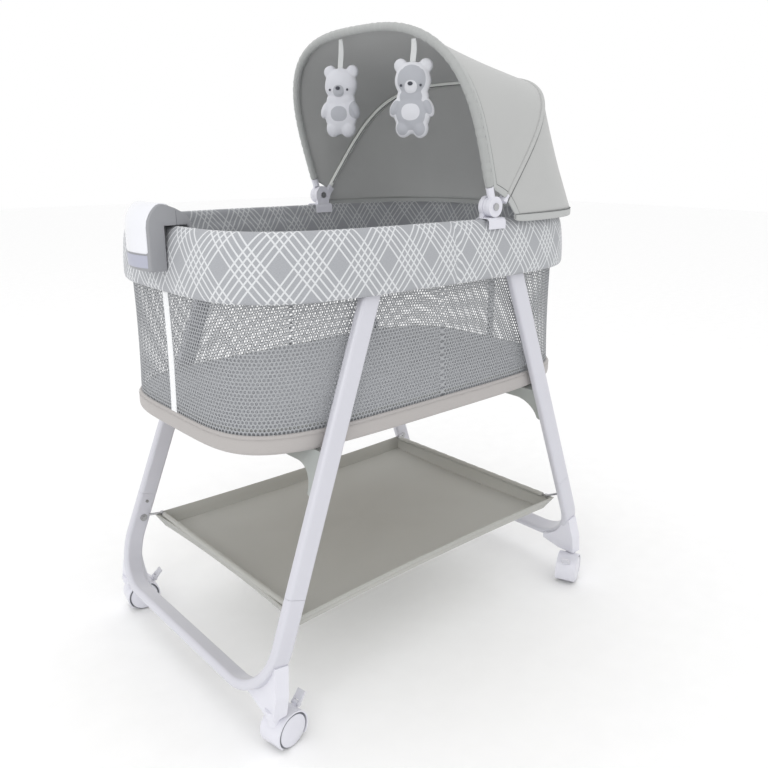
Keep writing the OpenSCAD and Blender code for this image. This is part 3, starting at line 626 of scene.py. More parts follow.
def grid_piece(name: str, grid: np.ndarray, inside: Triple, closed: bool = False,
               uv: Optional[np.ndarray] = None) -> bpy.types.Object:
    """Make a piece from a grid of points.

    Args:
        name: Name of the piece.
        grid: Rows, columns and x, y, z in metres.
        inside: A point that the faces look away from.
        closed: Whether the last column joins the first.
        uv: Rows and columns (one more where closed) of cloth coordinates in metres.

    Returns:
        The piece.
    """
    rows, cols = grid.shape[:2]
    around = cols if closed else cols - 1
    if uv is None:
        middle = grid[rows // 2]
        ring = np.concatenate([middle, middle[:1]]) if closed else middle
        u = lengths_along(ring)
        v = lengths_along(grid[:, cols // 2])
        uv = np.stack(np.broadcast_arrays(u[None, :], v[:, None]), axis=-1)
    i, j = np.meshgrid(np.arange(rows - 1), np.arange(around), indexing="ij")
    i, j = i.ravel(), j.ravel()
    turn = (j + 1) % cols
    quads = np.stack([i * cols + j, i * cols + turn, (i + 1) * cols + turn, (i + 1) * cols + j], axis=1)
    cloth = np.stack([uv[i, j], uv[i, j + 1], uv[i + 1, j + 1], uv[i + 1, j]], axis=1)
    points = grid.reshape(-1, 3)
    corner = points[quads]
    normals = np.cross(corner[:, 2] - corner[:, 0], corner[:, 3] - corner[:, 1])
    if np.sum(normals * (corner.mean(axis=1) - np.array(inside))) < 0:
        quads, cloth = quads[:, ::-1], cloth[:, ::-1]
    mesh = bpy.data.meshes.new(name)
    mesh.from_pydata(points.tolist(), [], quads.tolist())
    layer = mesh.uv_layers.new(name="cloth")
    layer.data.foreach_set("uv", cloth.reshape(-1).astype(np.float32))
    mesh.polygons.foreach_set("use_smooth", [True] * len(mesh.polygons))
    mesh.update()
    return placed(mesh)


def tube_piece(name: str, path: np.ndarray, radius: object, sides: int = 10, closed: bool = False) -> bpy.types.Object:
    """Sweep a round tube along a path.

    Args:
        name: Name of the piece.
        path: Points in metres.
        radius: Radius in metres, one value or one for each point.
        sides: Sides of the section.
        closed: Whether the path is a loop.

    Returns:
        The piece.
    """
    count = len(path)
    radii = np.broadcast_to(np.asarray(radius, float), (count,))
    if closed:
        tangent = np.roll(path, -1, axis=0) - np.roll(path, 1, axis=0)
    else:
        tangent = np.gradient(path, axis=0)
    tangent /= np.linalg.norm(tangent, axis=1)[:, None]
    side = np.cross(tangent[0], (0.31, 0.17, 0.93))
    side /= np.linalg.norm(side)
    angles = np.arange(sides) * 2 * math.pi / sides
    grid = np.zeros((count, sides, 3))
    for k in range(count):
        side = side - tangent[k] * np.dot(side, tangent[k])
        side /= np.linalg.norm(side)
        other = np.cross(tangent[k], side)
        grid[k] = path[k] + radii[k] * (np.cos(angles)[:, None] * side + np.sin(angles)[:, None] * other)
    quads = []
    for k in range(count if closed else count - 1):
        nxt = (k + 1) % count
        for s in range(sides):
            t = (s + 1) % sides
            quads.append((k * sides + s, k * sides + t, nxt * sides + t, nxt * sides + s))
    if not closed:
        quads.append(tuple(range(sides))[::-1])
        quads.append(tuple((count - 1) * sides + s for s in range(sides)))
    mesh = bpy.data.meshes.new(name)
    mesh.from_pydata(grid.reshape(-1, 3).tolist(), [], quads)
    mesh.polygons.foreach_set("use_smooth", [True] * len(mesh.polygons))
    layer = mesh.uv_layers.new(name="cloth")
    travelled = lengths_along(path)
    mean = float(radii.mean())
    for polygon in mesh.polygons:
        for loop, vertex in zip(polygon.loop_indices, polygon.vertices):
            layer.data[loop].uv = (travelled[vertex // sides], (vertex % sides) * mean * 2 * math.pi / sides)
    mesh.update()
    return placed(mesh)


def signed_power(value: np.ndarray, power: float) -> np.ndarray:
    """Raise to a power and keep the sign."""
    return np.sign(value) * np.abs(value) ** power


@dataclass(frozen=True)
class Outline:
    """A rounded-rectangle outline that all the basket's rings follow, in millimetres."""

    half_length: float
    half_width: float
    squareness: float
    centre_x: float

    def angles(self, count: int, first: float = -180.0, last: float = 180.0) -> np.ndarray:
        """Angles that are evenly spaced along the outline.

        Args:
            count: How many, with both ends.
            first: First angle in degrees; -180 is the foot end and -90 the front.
            last: Last angle in degrees.

        Returns:
            The angles in radians.
        """
        fine = np.radians(np.linspace(first, last, 6000))
        travelled = lengths_along(self.points(fine, 0.0, 0.0)[:, :2])
        return np.interp(np.linspace(0, travelled[-1], count), travelled, fine)

    def points(self, angles: np.ndarray, inset: float, z: float) -> np.ndarray:
        """Points of one ring.

        Args:
            angles: Angles in radians.
            inset: How far the ring is drawn in, in millimetres.
            z: Height in millimetres.

        Returns:
            Points in metres.
        """
        power = 2 / self.squareness
        x = self.centre_x + (self.half_length - inset) * signed_power(np.cos(angles), power)
        y = (self.half_width - inset) * signed_power(np.sin(angles), power)
        return np.stack([x, y, np.full_like(x, z)], axis=1) * MM

    def perimeter(self) -> float:
        """Length round the outline in metres."""
        fine = np.radians(np.linspace(-180, 180, 6000))
        return float(lengths_along(self.points(fine, 0.0, 0.0))[-1])


def paint_nodes(finish: Finish, *names: str) -> None:
    """Give CAD nodes a finish.

    Args:
        finish: The finish.
        *names: Names of the nodes.
    """
    for name in names:
        for place in frame["nodes"][name].material_slots:
            place.material = finish.material()
        LOG.info("dressed %s", name)


# ---------- basket ----------


@dataclass
class Basket:
    """The sleeping basket: printed rim band, net wall, base band and mattress. Sizes in millimetres."""

    centre_x: float
    rim_length: float = 386.0
    rim_width: float = 247.0
    rim_squareness: float = 4.0
    base_length: float = 379.5
    base_width: float = 224.6
    base_squareness: float = 4.6
    print_period: float = 86.5
    print_centre_x: float = 67.3
    print_level: float = 718.0
    print_rise: float = 106.0
    net_columns: int = 344
    net_rows: int = 38
    net_low: float = 455.0
    net_high: float = 670.0
    net_hole: float = 0.71
    net_thickness: float = 0.6
    net_solid_share: float = 0.65
    tape_width: float = 17.0

    @property
    def rim(self) -> Outline:
        """Outline of the rim band."""
        return Outline(self.rim_length, self.rim_width, self.rim_squareness, self.centre_x)

    @property
    def base(self) -> Outline:
        """Outline of the base band."""
        return Outline(self.base_length, self.base_width, self.base_squareness, self.centre_x)

    def rim_band(self) -> None:
        """The printed band that is folded over the rim tube; its inside wall takes a darker copy of the print as
        painted shade.
        """
        section = rounded_line(
            [(6.5, 664.5), (4, 663.2), (1.2, 665.5), (0, 672), (0, 684), (0.6, 700), (2.5, 722), (5, 738),
             (8, 748), (12, 755), (16.5, 759), (21, 760), (25, 758), (28.5, 752), (30.5, 743), (31.6, 736),
             (35.2, 729), (35.2, 700), (35.2, 674), (33.7, 669)], 58)
        angles = self.rim.angles(321)[:-1]
        soft = np.array([noise.noise(Vector((k * 0.07, 3.1, 0.0))) for k in range(320)])
        soft[:20] = soft[:20] * np.linspace(0, 1, 20)
        soft[-20:] = soft[-20:] * np.linspace(1, 0, 20)
        rows = []
        for inset, z in section:
            ring = self.rim.points(angles, inset, z)
            loose = np.clip((735 - z) / 70, 0, 1)
            outward = ring[:, :2] - np.array([self.centre_x * MM, 0])
            outward /= np.linalg.norm(outward, axis=1)[:, None]
            ring[:, :2] += outward * (soft * loose * 1.4 * MM)[:, None]
            ring[:, 2] += soft * loose * 1.2 * MM
            rows.append(ring)
        grid = np.stack(rows)
        around = np.linspace(0, self.rim.perimeter(), 321)
        up = 0.6645 + lengths_along(section * MM)
        uv = np.stack(np.broadcast_arrays(around[None, :], up[:, None]), axis=-1)
        piece = grid_piece("rim_band_cloth", grid, (self.centre_x * MM, 0, 0.71), True, uv)
        self.face_outward(piece)
        finish_with(piece, "SOLIDIFY", thickness=2.0 * MM, offset=-1.0, material_offset=1)
        repeats = round(self.rim.perimeter() / (self.print_period * MM))
        fine = self.rim.angles(4000)
        line = self.rim.points(fine, 0, 0)
        front = (line[:, 1] < -0.15) & (line[:, 0] > -0.2)
        nearest = np.argmin(np.where(front, np.abs(line[:, 0] - (self.centre_x + self.print_centre_x) * MM), 9))
        start = nearest / 3999 * self.rim.perimeter()
        printed = LatticePrint("printed_jersey", tone(150, 152, 157), tone(172, 174, 178), tone(214, 216, 218),
                               self.rim.perimeter() / repeats, self.print_rise * MM, start, self.print_level * MM)
        # Darker copy of the same print: painted shade for the band's inside wall.
        shaded = replace(printed, name="printed_jersey_inside", ground=tone(132, 134, 138),
                         heather=tone(154, 156, 160), line=tone(184, 186, 188))
        lining = WovenCloth("jersey_lining", tone(172, 173, 176), 0.0012, 0.06, 0.3, 0.2)
        dressed(piece, "band_fabric", printed, lining, shaded)
        # Faces of the inside wall get the darker print, which is painted shade.
        for face in piece.data.polygons:
            spot = face.center / MM
            level = (abs((spot.x - self.centre_x) / (self.rim_length - 24)) ** 4
                     + abs(spot.y / (self.rim_width - 24)) ** 4)
            if level < 1 and face.material_index == 0:
                face.material_index = 2
        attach(piece, "root")
        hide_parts("rim_band")
        self.rim.perimeter()

    @staticmethod
    def face_outward(piece: bpy.types.Object) -> None:
        """Turn a folded band's faces so that the outside wall looks out."""
        mesh = piece.data
        face = min(mesh.polygons, key=lambda p: (p.center.z - 0.70) ** 2 * 4 + (p.center.y + 1.0) ** 2)
        if face.normal.y > 0:
            mesh.flip_normals()

    def net(self) -> None:
        """The net wall in four quarters, each a staggered net of six-sided holes."""
        columns = self.net_columns // 4
        lower = Outline(376.2, 221.0, self.base_squareness, self.centre_x)
        table = lower.angles(4001)
        height = self.net_high - self.net_low
        row_step = height / self.net_rows
        corner = [(0, 2 / 3), (0.5, 1 / 3), (0.5, -1 / 3), (0, -2 / 3), (-0.5, -1 / 3), (-0.5, 1 / 3)]
        for quarter in range(4):
            places: Dict[Tuple[int, int], int] = {}
            flat: List[Pair] = []
            faces: List[Tuple[int, ...]] = []

            def corner_index(u: float, v: float) -> int:
                """Index of a shared corner."""
                key = (round(u * 2), round(v * 3))
                if key not in places:
                    places[key] = len(flat)
                    flat.append((u, v))
                return places[key]

            for j in range(self.net_rows):
                for i in range(columns):
                    u = quarter * columns + i + (0.5 if j % 2 else 0.0)
                    outer = [corner_index(u + du, j + dv) for du, dv in corner]
                    inner = []
                    for du, dv in corner:
                        inner.append(len(flat))
                        flat.append((u + du * self.net_hole, j + dv * self.net_hole))
                    for k in range(6):
                        m = (k + 1) % 6
                        faces.append((outer[k], inner[k], inner[m], outer[m]))
            uv = np.array(flat)
            angles = np.interp((uv[:, 0] / self.net_columns) % 1.0, np.linspace(0, 1, 4001), table)
            z = self.net_low + (uv[:, 1] + 0.5) * row_step
            share = (z - 448) / (690 - 448)
            length = 376.2 - 0.2 * share
            width = 221.0 - 7.6 * share
            power = 2 / self.base_squareness
            pull = 2.2 * np.sin(np.clip(share, 0, 1) * math.pi)
            x = self.centre_x + (length - pull) * signed_power(np.cos(angles), power)
            y = (width - pull) * signed_power(np.sin(angles), power)
            mesh = bpy.data.meshes.new(f"net_quarter_{quarter + 1}")
            mesh.from_pydata((np.stack([x, y, z], axis=1) * MM).tolist(), [], faces)
            mesh.update()
            face = mesh.polygons[len(mesh.polygons) // 2]
            if face.normal.dot(face.center - Vector((self.centre_x * MM, 0, face.center.z))) < 0:
                mesh.flip_normals()
            piece = placed(mesh)
            finish_with(piece, "SOLIDIFY", thickness=self.net_thickness * MM, offset=-1.0)
            dressed(piece, "mesh_fabric", NET_YARN)
            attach(piece, "root")
            if quarter == 0:
                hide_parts("mesh_wall")

    def seam_tapes(self) -> None:
        """The tapes over the net's seams at both ends, with a folded edge on each side."""
        for end in End:
            across = np.array([-1.0, -0.97, -0.8, -0.74, -0.4, 0, 0.4, 0.74, 0.8, 0.97, 1.0])
            lift = np.array([0.0, 0.9, 1.2, 0.7, 0.8, 0.9, 0.8, 0.7, 1.2, 0.9, 0.0])
            heights = np.linspace(462, 672, 60)
            grid = np.zeros((len(heights), len(across), 3))
            for row, z in enumerate(heights):
                share = (z - 448) / 242
                pull = 2.2 * math.sin(min(max(share, 0), 1) * math.pi)
                ripple = 0.25 * math.sin(row * 0.9)
                grid[row, :, 0] = self.centre_x + end.value * (376.2 - pull + lift + 0.1)
                grid[row, :, 1] = across * (self.tape_width / 2 + ripple * 0.4)
                grid[row, :, 2] = z
            piece = grid_piece(f"seam_tape_{end.name.lower()}", grid * MM, (self.centre_x * MM, 0, 0.57))
            finish_with(piece, "SOLIDIFY", thickness=0.7 * MM, offset=-1.0)
            dressed(piece, "tape_white", TAPE_CLOTH)
            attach(piece, "root")
            if end is End.FOOT:
                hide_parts("seam_tapes")

    def base_band(self) -> None:
        """The plain band round the base tube, with the underside cloth turned in below."""
        section = rounded_line([(26, 441.9), (14, 441.7), (6, 442.2), (1.8, 444.5), (0.2, 449), (0, 456), (0.3, 464),
                                (1.2, 470), (2.6, 473), (4.6, 473.4), (5.6, 471)], 30)
        angles = self.base.angles(281)[:-1]
        grid = np.stack([self.base.points(angles, inset, z) for inset, z in section])
        piece = grid_piece("base_band_cloth", grid, (self.centre_x * MM, 0, 0.46), True)
        finish_with(piece, "SOLIDIFY", thickness=1.4 * MM, offset=-1.0)
        dressed(piece, "base_fabric", BASE_CLOTH)
        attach(piece, "root")
        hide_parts("base_band")
        self.base.perimeter()
        thread = tube_piece("base_band_stitch", self.base.points(angles, 0.1, 467.5), 0.3 * MM, 6, True)
        dressed(thread, "base_fabric", BASE_CLOTH)
        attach(thread, "root")

    def mattress(self) -> None:
        """The crowned pad with a corded edge."""
        inset = 10.5
        top, bottom = 485.5, 462.2
        section = [(0.0, 4.2), (0.25, 4.0), (0.5, 3.4), (0.7, 2.6), (0.84, 1.5), (0.93, 0.2), (0.975, -1.8)]
        angles = self.base.angles(221)[:-1]
        rows = []
        for share, lift in section:
            ring = self.base.points(angles, inset, top - 4 + lift)
            share = max(share, 0.002)
            ring[:, 0] = self.centre_x * MM + (ring[:, 0] - self.centre_x * MM) * share
            ring[:, 1] *= share
            rows.append(ring)
        for extra, z in ((1.5, top - 6.8), (0.2, top - 9), (-0.8, (top + bottom) / 2), (0.2, bottom + 4), (3, bottom)):
            rows.append(self.base.points(angles, inset + extra, z))
        centre = self.base.points(angles, inset, bottom)
        centre[:, 0] = self.centre_x * MM + (centre[:, 0] - self.centre_x * MM) * 0.002
        centre[:, 1] *= 0.002
        rows.append(centre)
        piece = grid_piece("mattress_pad", np.stack(rows), (self.centre_x * MM, 0, 0.474), True)
        merge_close(piece, 0.0021)
        finish_with(piece, "SUBSURF", levels=1, render_levels=1)
        for vertex in piece.data.vertices:
            if vertex.co.z > 0.478:
                ripple = noise.noise(Vector((vertex.co.x * 9, vertex.co.y * 9, 0.4)))
                vertex.co.z += ripple * 1.3 * MM
        dressed(piece, "mattress_fabric", PAD_CLOTH)
        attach(piece, "root")
        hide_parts("mattress")
        cord = tube_piece("mattress_piping", self.base.points(angles, inset + 0.6, top - 7.6), 1.9 * MM, 8, True)
        dressed(cord, "mattress_fabric", BINDING)
        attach(cord, "root")

    def build(self) -> None:
        """Make the whole basket."""
        self.rim_band()
        self.net()
        self.seam_tapes()
        self.base_band()
        self.mattress()


# ---------- shelf ----------


@dataclass
class Shelf:
    """The cloth tray between the legs. Sizes in millimetres."""

    centre_x: float
    half_length: float = 322.0
    half_width: float = 234.0
    lip: float = 191.0
    depth: float = 24.0
    slant: float = 14.0
    bow: float = 9.0
    edge_points: int = 40
    rod_x: float = 311.0
    rod_z: float = 193.6
    pocket_half: float = 213.0
    pocket_radius: float = 4.4

    def loop(self, inset: float, z: float, bow: float) -> np.ndarray:
        """One rectangular ring whose edges bow in.

        Args:
            inset: How far the ring is drawn in.
            z: Height.
            bow: Most that an edge's middle is drawn in.

        Returns:
            Points in metres.
        """
        length, width = self.half_length - inset, self.half_width - inset
        corners = [np.array(c) for c in ((-length, -width), (length, -width), (length, width), (-length, width))]
        points = []
        for k, corner in enumerate(corners):
            edge = corners[(k + 1) % 4] - corner
            inward = np.array([-edge[1], edge[0]]) / np.linalg.norm(edge)
            for step in range(self.edge_points):
                share = step / self.edge_points
                drawn = bow * math.sin(math.pi * share) ** 0.8
                place = corner + edge * share + inward * drawn
                points.append((self.centre_x + place[0], place[1], z))
        return np.array(points) * MM

    def crease(self, x: float, y: float) -> float:
        """Height that soft folds add to the floor of the tray, in millimetres."""
        diagonal = (abs(x) / self.half_length - abs(y) / self.half_width)
        fold = math.exp(-(diagonal / 0.16) ** 2) * 1.6
        return fold + 1.8 * noise.noise(Vector((x * 0.011, y * 0.013, 0.7)))

    def cloth(self) -> None:
        """The tray: floor, slanted walls with mitred corners and a turned lip."""
        bottom = self.lip - self.depth
        rows = []
        for share in np.linspace(0.004, 1.0, 26):
            ring = self.loop(self.slant, bottom, self.bow * 0.8) / MM
            ring[:, 0] = self.centre_x + (ring[:, 0] - self.centre_x) * share
            ring[:, 1] *= share
            fade = max(0.0, 1 - share ** 4)
            for point in ring:
                point[2] = bottom - 0.5 - 4.5 * fade + self.crease(point[0] - self.centre_x, point[1]) * fade
            rows.append(ring * MM)
        for share in (0.06, 0.2, 0.45, 0.7, 0.9, 1.0):
            wave = self.loop(self.slant * (1 - share), bottom + self.depth * share, self.bow * (0.8 + 0.2 * share))
            rows.append(wave)
        rows.append(self.loop(1.6, self.lip + 0.8, self.bow))
        rows.append(self.loop(3.6, self.lip - 1.2, self.bow))
        rows.append(self.loop(9.8, self.lip - 13, self.bow * 0.9))
        piece = grid_piece("shelf_tray_cloth", np.stack(rows), (self.centre_x * MM, 0, 0.4), True)
        merge_close(piece, 0.0018)
        finish_with(piece, "SOLIDIFY", thickness=1.3 * MM, offset=-1.0)
        take(piece)
        bpy.ops.object.shade_smooth_by_angle(angle=math.radians(38))
        dressed(piece, "shelf_fabric", SHELF_CLOTH)
        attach(piece, "root")
        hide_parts("shelf_cloth")
        for height, name in ((self.lip - 12.5, "lower"), (self.lip - 1.8, "upper")):
            share = (height - bottom) / self.depth
            line = self.loop(self.slant * (1 - share) - 0.15, height, self.bow * (0.8 + 0.2 * share))
            stitch = tube_piece(f"shelf_hem_stitch_{name}", line, 0.3 * MM, 6, True)
            dressed(stitch, "shelf_fabric", SHELF_CLOTH)
            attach(stitch, "root")

    def rod_pockets(self) -> None:
        """The sewn pockets round the rods at both ends."""
        for end in End:
            across = np.linspace(-self.pocket_half, self.pocket_half, 60)
            path = np.stack([np.full(60, self.centre_x + end.value * self.rod_x), across,
                             np.full(60, self.rod_z)], axis=1) * MM
            radius = (self.pocket_radius + 0.25 * np.sin(across * 0.21) + 0.15 * np.sin(across * 0.53)) * MM
            pocket = tube_piece(f"shelf_rod_pocket_{end.name.lower()}", path, radius, 14)
            dressed(pocket, "shelf_fabric", SHELF_CLOTH)
            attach(pocket, "root")

    def build(self) -> None:
        """Make the shelf."""
        self.cloth()
        self.rod_pockets()


# ---------- canopy ----------


@dataclass
class Canopy:
    """The folding canopy: two cloth panels over a hoop and a bow, their bindings and the bound hem.

    Sizes in millimetres. Both arches stand in planes that turn about the hub axis.
    """

    centre_x: float
    hub_x: float = 90.0
    hub_z: float = 778.5
    hoop_angle: float = 108.0
    hoop_half: float = 232.7
    hoop_foot: float = 72.0
    hoop_height: float = 291.5
    hoop_square: float = 2.92
    sleeve_start: float = 33.0
    bow_angle: float = 53.8
    bow_half: float = 236.0
    bow_height: float = 274.7
    bow_square: float = 3.92
    bow_offset: float = 15.7
    bow_start: float = 26.0
    hem_length: float = 396.0
    hem_width: float = 249.0
    hem_angle: float = 84.1
    steps: int = 118
    columns: int = 30
    hem_low: float = field(init=False)
    hem_high: float = field(init=False)

    def __post_init__(self) -> None:
        """Take the hem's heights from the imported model."""
        low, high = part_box("canopy_hem")
        self.hem_low, self.hem_high = low.z / MM, high.z / MM

    def arch(self, half: float, low: float, high: float, square: float, start: float, grow: float) -> np.ndarray:
        """Outline of an arch in its own plane.

        Args:
            half: Half the width at the foot.
            low: Height where the rounded part begins.
            high: Height of the crown.
            square: How square the crown is; 2 is an ellipse.
            start: Height of the feet.
            grow: How far the outline is moved out.

        Returns:
            Rows of across and up, from the back's foot to the front's.
        """
        angles = np.linspace(0, math.pi, self.steps + 1)
        power = 2 / square
        across = (half + grow) * signed_power(np.cos(angles), power)
        up = low + (high + grow - low) * signed_power(np.sin(angles), power)
        line = np.stack([across, up], axis=1)
        return resample(np.concatenate([[[half + grow, start]], line, [[-half - grow, start]]]), self.steps + 3)

    def in_space(self, line: np.ndarray, angle: float, offset: float) -> np.ndarray:
        """Put a line of a hub plane in space.

        Args:
            line: Rows of across and up.
            angle: Angle of the plane above the floor towards the head, in degrees.
            offset: Distance of the plane from the hub axis.

        Returns:
            Points in metres.
        """
        cos, sin = math.cos(math.radians(angle)), math.sin(math.radians(angle))
        x = self.centre_x + self.hub_x + line[:, 1] * cos + offset * sin
        z = self.hub_z + line[:, 1] * sin - offset * cos
        return np.stack([x, line[:, 0], z], axis=1) * MM

    def hoop_line(self, grow: float) -> np.ndarray:
        """Line along the front hoop, moved out by a distance."""
        return self.in_space(self.arch(self.hoop_half, self.hoop_foot, self.hoop_height, self.hoop_square,
                                       self.sleeve_start, grow), self.hoop_angle, 0.0)

    def bow_line(self, grow: float) -> np.ndarray:
        """Line along the rear bow, moved out by a distance."""
        return self.in_space(self.arch(self.bow_half, self.bow_start + 8, self.bow_height, self.bow_square,
                                       self.bow_start, grow), self.bow_angle, self.bow_offset)

    def hem_line(self, grow: float, height: float) -> np.ndarray:
        """Line round the head end of the rim.

        Args:
            grow: How far the line is moved out.
            height: Height of the line.

        Returns:
            Points in metres, from the back to the front.
        """
        outline = Outline(self.hem_length, self.hem_width, 4.0, self.centre_x)
        angles = outline.angles(self.steps + 3, self.hem_angle, -self.hem_angle)
        return outline.points(angles, -grow, height)

    @staticmethod
    def loft(first: np.ndarray, second: np.ndarray, first_gap: float, second_gap: float, columns: int,
             sag: float) -> np.ndarray:
        """Stretch a grid between two lines.

        Args:
            first: Points of the first line.
            second: Points of the second line.
            first_gap: Distance left free at the first line, in metres.
            second_gap: Distance left free at the second line.
            columns: Columns of the grid.
            sag: How far the middle is drawn towards the hubs.

        Returns:
            Rows along the lines, columns across.
        """
        across = second - first
        width = np.linalg.norm(across, axis=1)[:, None]
        low, high = first_gap / width, 1 - second_gap / width
        shares = low + (high - low) * np.linspace(0, 1, columns)[None, :]
        grid = first[:, None, :] + across[:, None, :] * shares[:, :, None]
        rows = len(first)
        along = np.clip(np.minimum(np.arange(rows), rows - 1 - np.arange(rows)) / 12, 0, 1)
        centre = grid.mean(axis=(0, 1)) * (1, 0, 0) + np.array([0, 0, 0.80])
        inward = centre - grid
        inward /= np.linalg.norm(inward, axis=2)[:, :, None]
        depth = np.sin(np.linspace(0, math.pi, columns))[None, :] * along[:, None] * np.minimum(width / 0.12, 1) * sag
        return grid + inward * depth[:, :, None]

    def front_grid(self, grow: float = 2.0) -> np.ndarray:
        """Grid of the front panel's outside, hoop to bow."""
        return self.loft(self.hoop_line(grow), self.bow_line(grow), 7.6 * MM, 4.6 * MM, self.columns, 3.2 * MM)

    def rear_grid(self, grow: float = 2.0) -> np.ndarray:
        """Grid of the rear panel's outside, bow to hem."""
        return self.loft(self.bow_line(grow), self.hem_line(1.5, self.hem_high + 0.4), 4.6 * MM, 0.0,
                         self.columns, 2.6 * MM)

    @staticmethod
    def normals(grid: np.ndarray) -> np.ndarray:
        """Outward normals of a panel's grid."""
        along, across = np.gradient(grid, axis=0), np.gradient(grid, axis=1)
        normal = np.cross(along, across)
        normal /= np.linalg.norm(normal, axis=2)[:, :, None]
        away = grid - np.array([grid[:, :, 0].mean(), 0, 0.80])
        if np.sum(normal * away) < 0:
            normal = -normal
        return normal

    def wrinkle(self, grid: np.ndarray, depth: float) -> np.ndarray:
        """Add soft tension folds to a panel.

        Args:
            grid: The panel's grid.
            depth: Depth of the folds in metres.

        Returns:
            The changed grid.
        """
        rows, cols = grid.shape[:2]
        fade = np.sin(np.linspace(0, math.pi, cols))[None, :] * np.clip(
            np.minimum(np.arange(rows), rows - 1 - np.arange(rows)) / 8, 0, 1)[:, None]
        lumps = np.array([[noise.noise(Vector((p[0] * 7, p[1] * 7, p[2] * 7))) for p in row] for row in grid])
        return grid + self.normals(grid) * (lumps * fade * depth)[:, :, None]

    def strip(self, grid: np.ndarray, spans: Sequence[float], heights: Sequence[float], axis: int,
              from_end: bool = False) -> np.ndarray:
        """Cut a raised strip along one edge of a panel.

        Args:
            grid: The panel's grid.
            spans: Distances from the edge in millimetres.
            heights: How far the strip stands off at each distance.
            axis: 1 for the edge along the arch, 0 for an edge at the arch's foot.
            from_end: Whether the edge is the last row or column.

        Returns:
            The strip's grid.
        """
        if axis == 0:
            grid = grid.transpose(1, 0, 2)
        if from_end:
            grid = grid[:, ::-1]
        normal = self.normals(grid)
        rows = []
        for line, out in zip(grid, normal):
            travelled = lengths_along(line)
            row = []
            for span, height in zip(spans, heights):
                place = [np.interp(span * MM, travelled, line[:, k]) for k in range(3)]
                away = [np.interp(span * MM, travelled, out[:, k]) for k in range(3)]
                row.append(np.array(place) + np.array(away) * height * MM)
            rows.append(row)
        return np.array(rows)

    def front_blend(self, piece: bpy.types.Object) -> None:
        """Bake the transform of a piece that lies between the bow and the hoop."""
        self.bend(piece, "bow", "hoop", (self.bow_angle + self.hoop_angle) / 2, 1)

    def rear_blend(self, piece: bpy.types.Object) -> None:
        """Bake the transform of a piece that lies between the basket and the bow."""
        self.bend(piece, "root", "bow", self.bow_angle / 2, 1)

    def bend(self, piece: bpy.types.Object, first: str, second: str, angle: float, turn: int) -> None:
        """Bake a piece's transform into its mesh.

        Args:
            piece: The piece.
            first: Body nearer the head; not used.
            second: Body nearer the foot; not used.
            angle: Angle of the middle of the piece above the floor, in degrees; not used.
            turn: Direction in which the angle grows; not used.
        """
        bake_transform(piece)

    def panel(self, name: str, grid: np.ndarray, node: str, held_by: Sequence[str]) -> bpy.types.Object:
        """Make one cloth panel.

        Args:
            name: Name of the piece.
            grid: Its outside.
            node: The CAD node it stands for.
            held_by: What it hangs from; not used.

        Returns:
            The piece, not yet moving with anything.
        """
        middle = tuple(grid.mean(axis=(0, 1)) * (1, 0, 0) + np.array([0, 0, 0.80]))
        piece = grid_piece(name, self.wrinkle(grid, 1.6 * MM), middle)
        finish_with(piece, "SOLIDIFY", thickness=1.1 * MM, offset=-1.0, material_offset=1)
        # The panel's inside face takes the lighter inside cloth: painted light through the canopy.
        dressed(piece, "canopy_fabric", CANOPY_OUTSIDE, CANOPY_INSIDE_PAINTED_LIGHT)
        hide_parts(node)
        return piece

    def edging(self, name: str, grid: np.ndarray, finish: Finish, thickness: float = 0.6) -> bpy.types.Object:
        """Make a narrow sewn strip from its outside grid."""
        middle = tuple(np.array([grid[:, :, 0].mean(), 0, 0.80]))
        piece = grid_piece(name, grid, middle)
        finish_with(piece, "SOLIDIFY", thickness=thickness * MM, offset=-1.0)
        return dressed(piece, "binding_fabric", finish)

    def seam(self, name: str, grid: np.ndarray, axis: int, from_end: bool) -> bpy.types.Object:
        """Make the dark seam beside a binding.

        Args:
            name: Name of the piece.
            grid: The panel's grid.
            axis: As in strip.
            from_end: As in strip.

        Returns:
            The piece, not yet moving with anything.
        """
        line = self.strip(grid, (11.2,), (0.25,), axis, from_end)[:, 0]
        return dressed(tube_piece(name, line, 0.6 * MM, 6), "binding_fabric", SEAM_THREAD)

    def cloth(self) -> None:
        """The two panels with their bindings and seams."""
        spans = (0.0, 0.5, 1.4, 4.0, 7.0, 9.4, 10.4, 11.0)
        heights = (0.0, 1.0, 1.5, 1.7, 1.7, 1.5, 1.0, -0.2)
        front, rear = self.front_grid(), self.rear_grid()
        panel = self.panel("canopy_front_cloth", front, "canopy_front_panel", ["canopy_hoop", "canopy_bow"])
        self.front_blend(panel)
        panel = self.panel("canopy_rear_cloth", rear, "canopy_rear_panel", ["canopy_bow", "canopy_hem_band"])
        self.rear_blend(panel)
        hoop_binding = self.edging("canopy_hoop_binding", self.strip(front, spans, heights, 1), BINDING)
        self.front_blend(hoop_binding)
        self.front_blend(self.seam("canopy_hoop_binding_seam", front, 1, False))
        for side, from_end in ((Side.BACK, False), (Side.FRONT, True)):
            label = side.name.lower()
            for place, grid, blend in (("edge", front, self.front_blend), ("corner", rear, self.rear_blend)):
                blend(self.edging(f"canopy_{place}_binding_{label}", self.strip(grid, spans, heights, 0, from_end),
                                  BINDING))
                blend(self.seam(f"canopy_{place}_seam_{label}", grid, 0, from_end))
        groove = tube_piece("canopy_sleeve_seam", self.strip(front, (0.2,), (0.4,), 1)[:, 0], 0.8 * MM, 6)
        dressed(groove, "binding_fabric", SEAM_THREAD)
        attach(groove, "hoop")

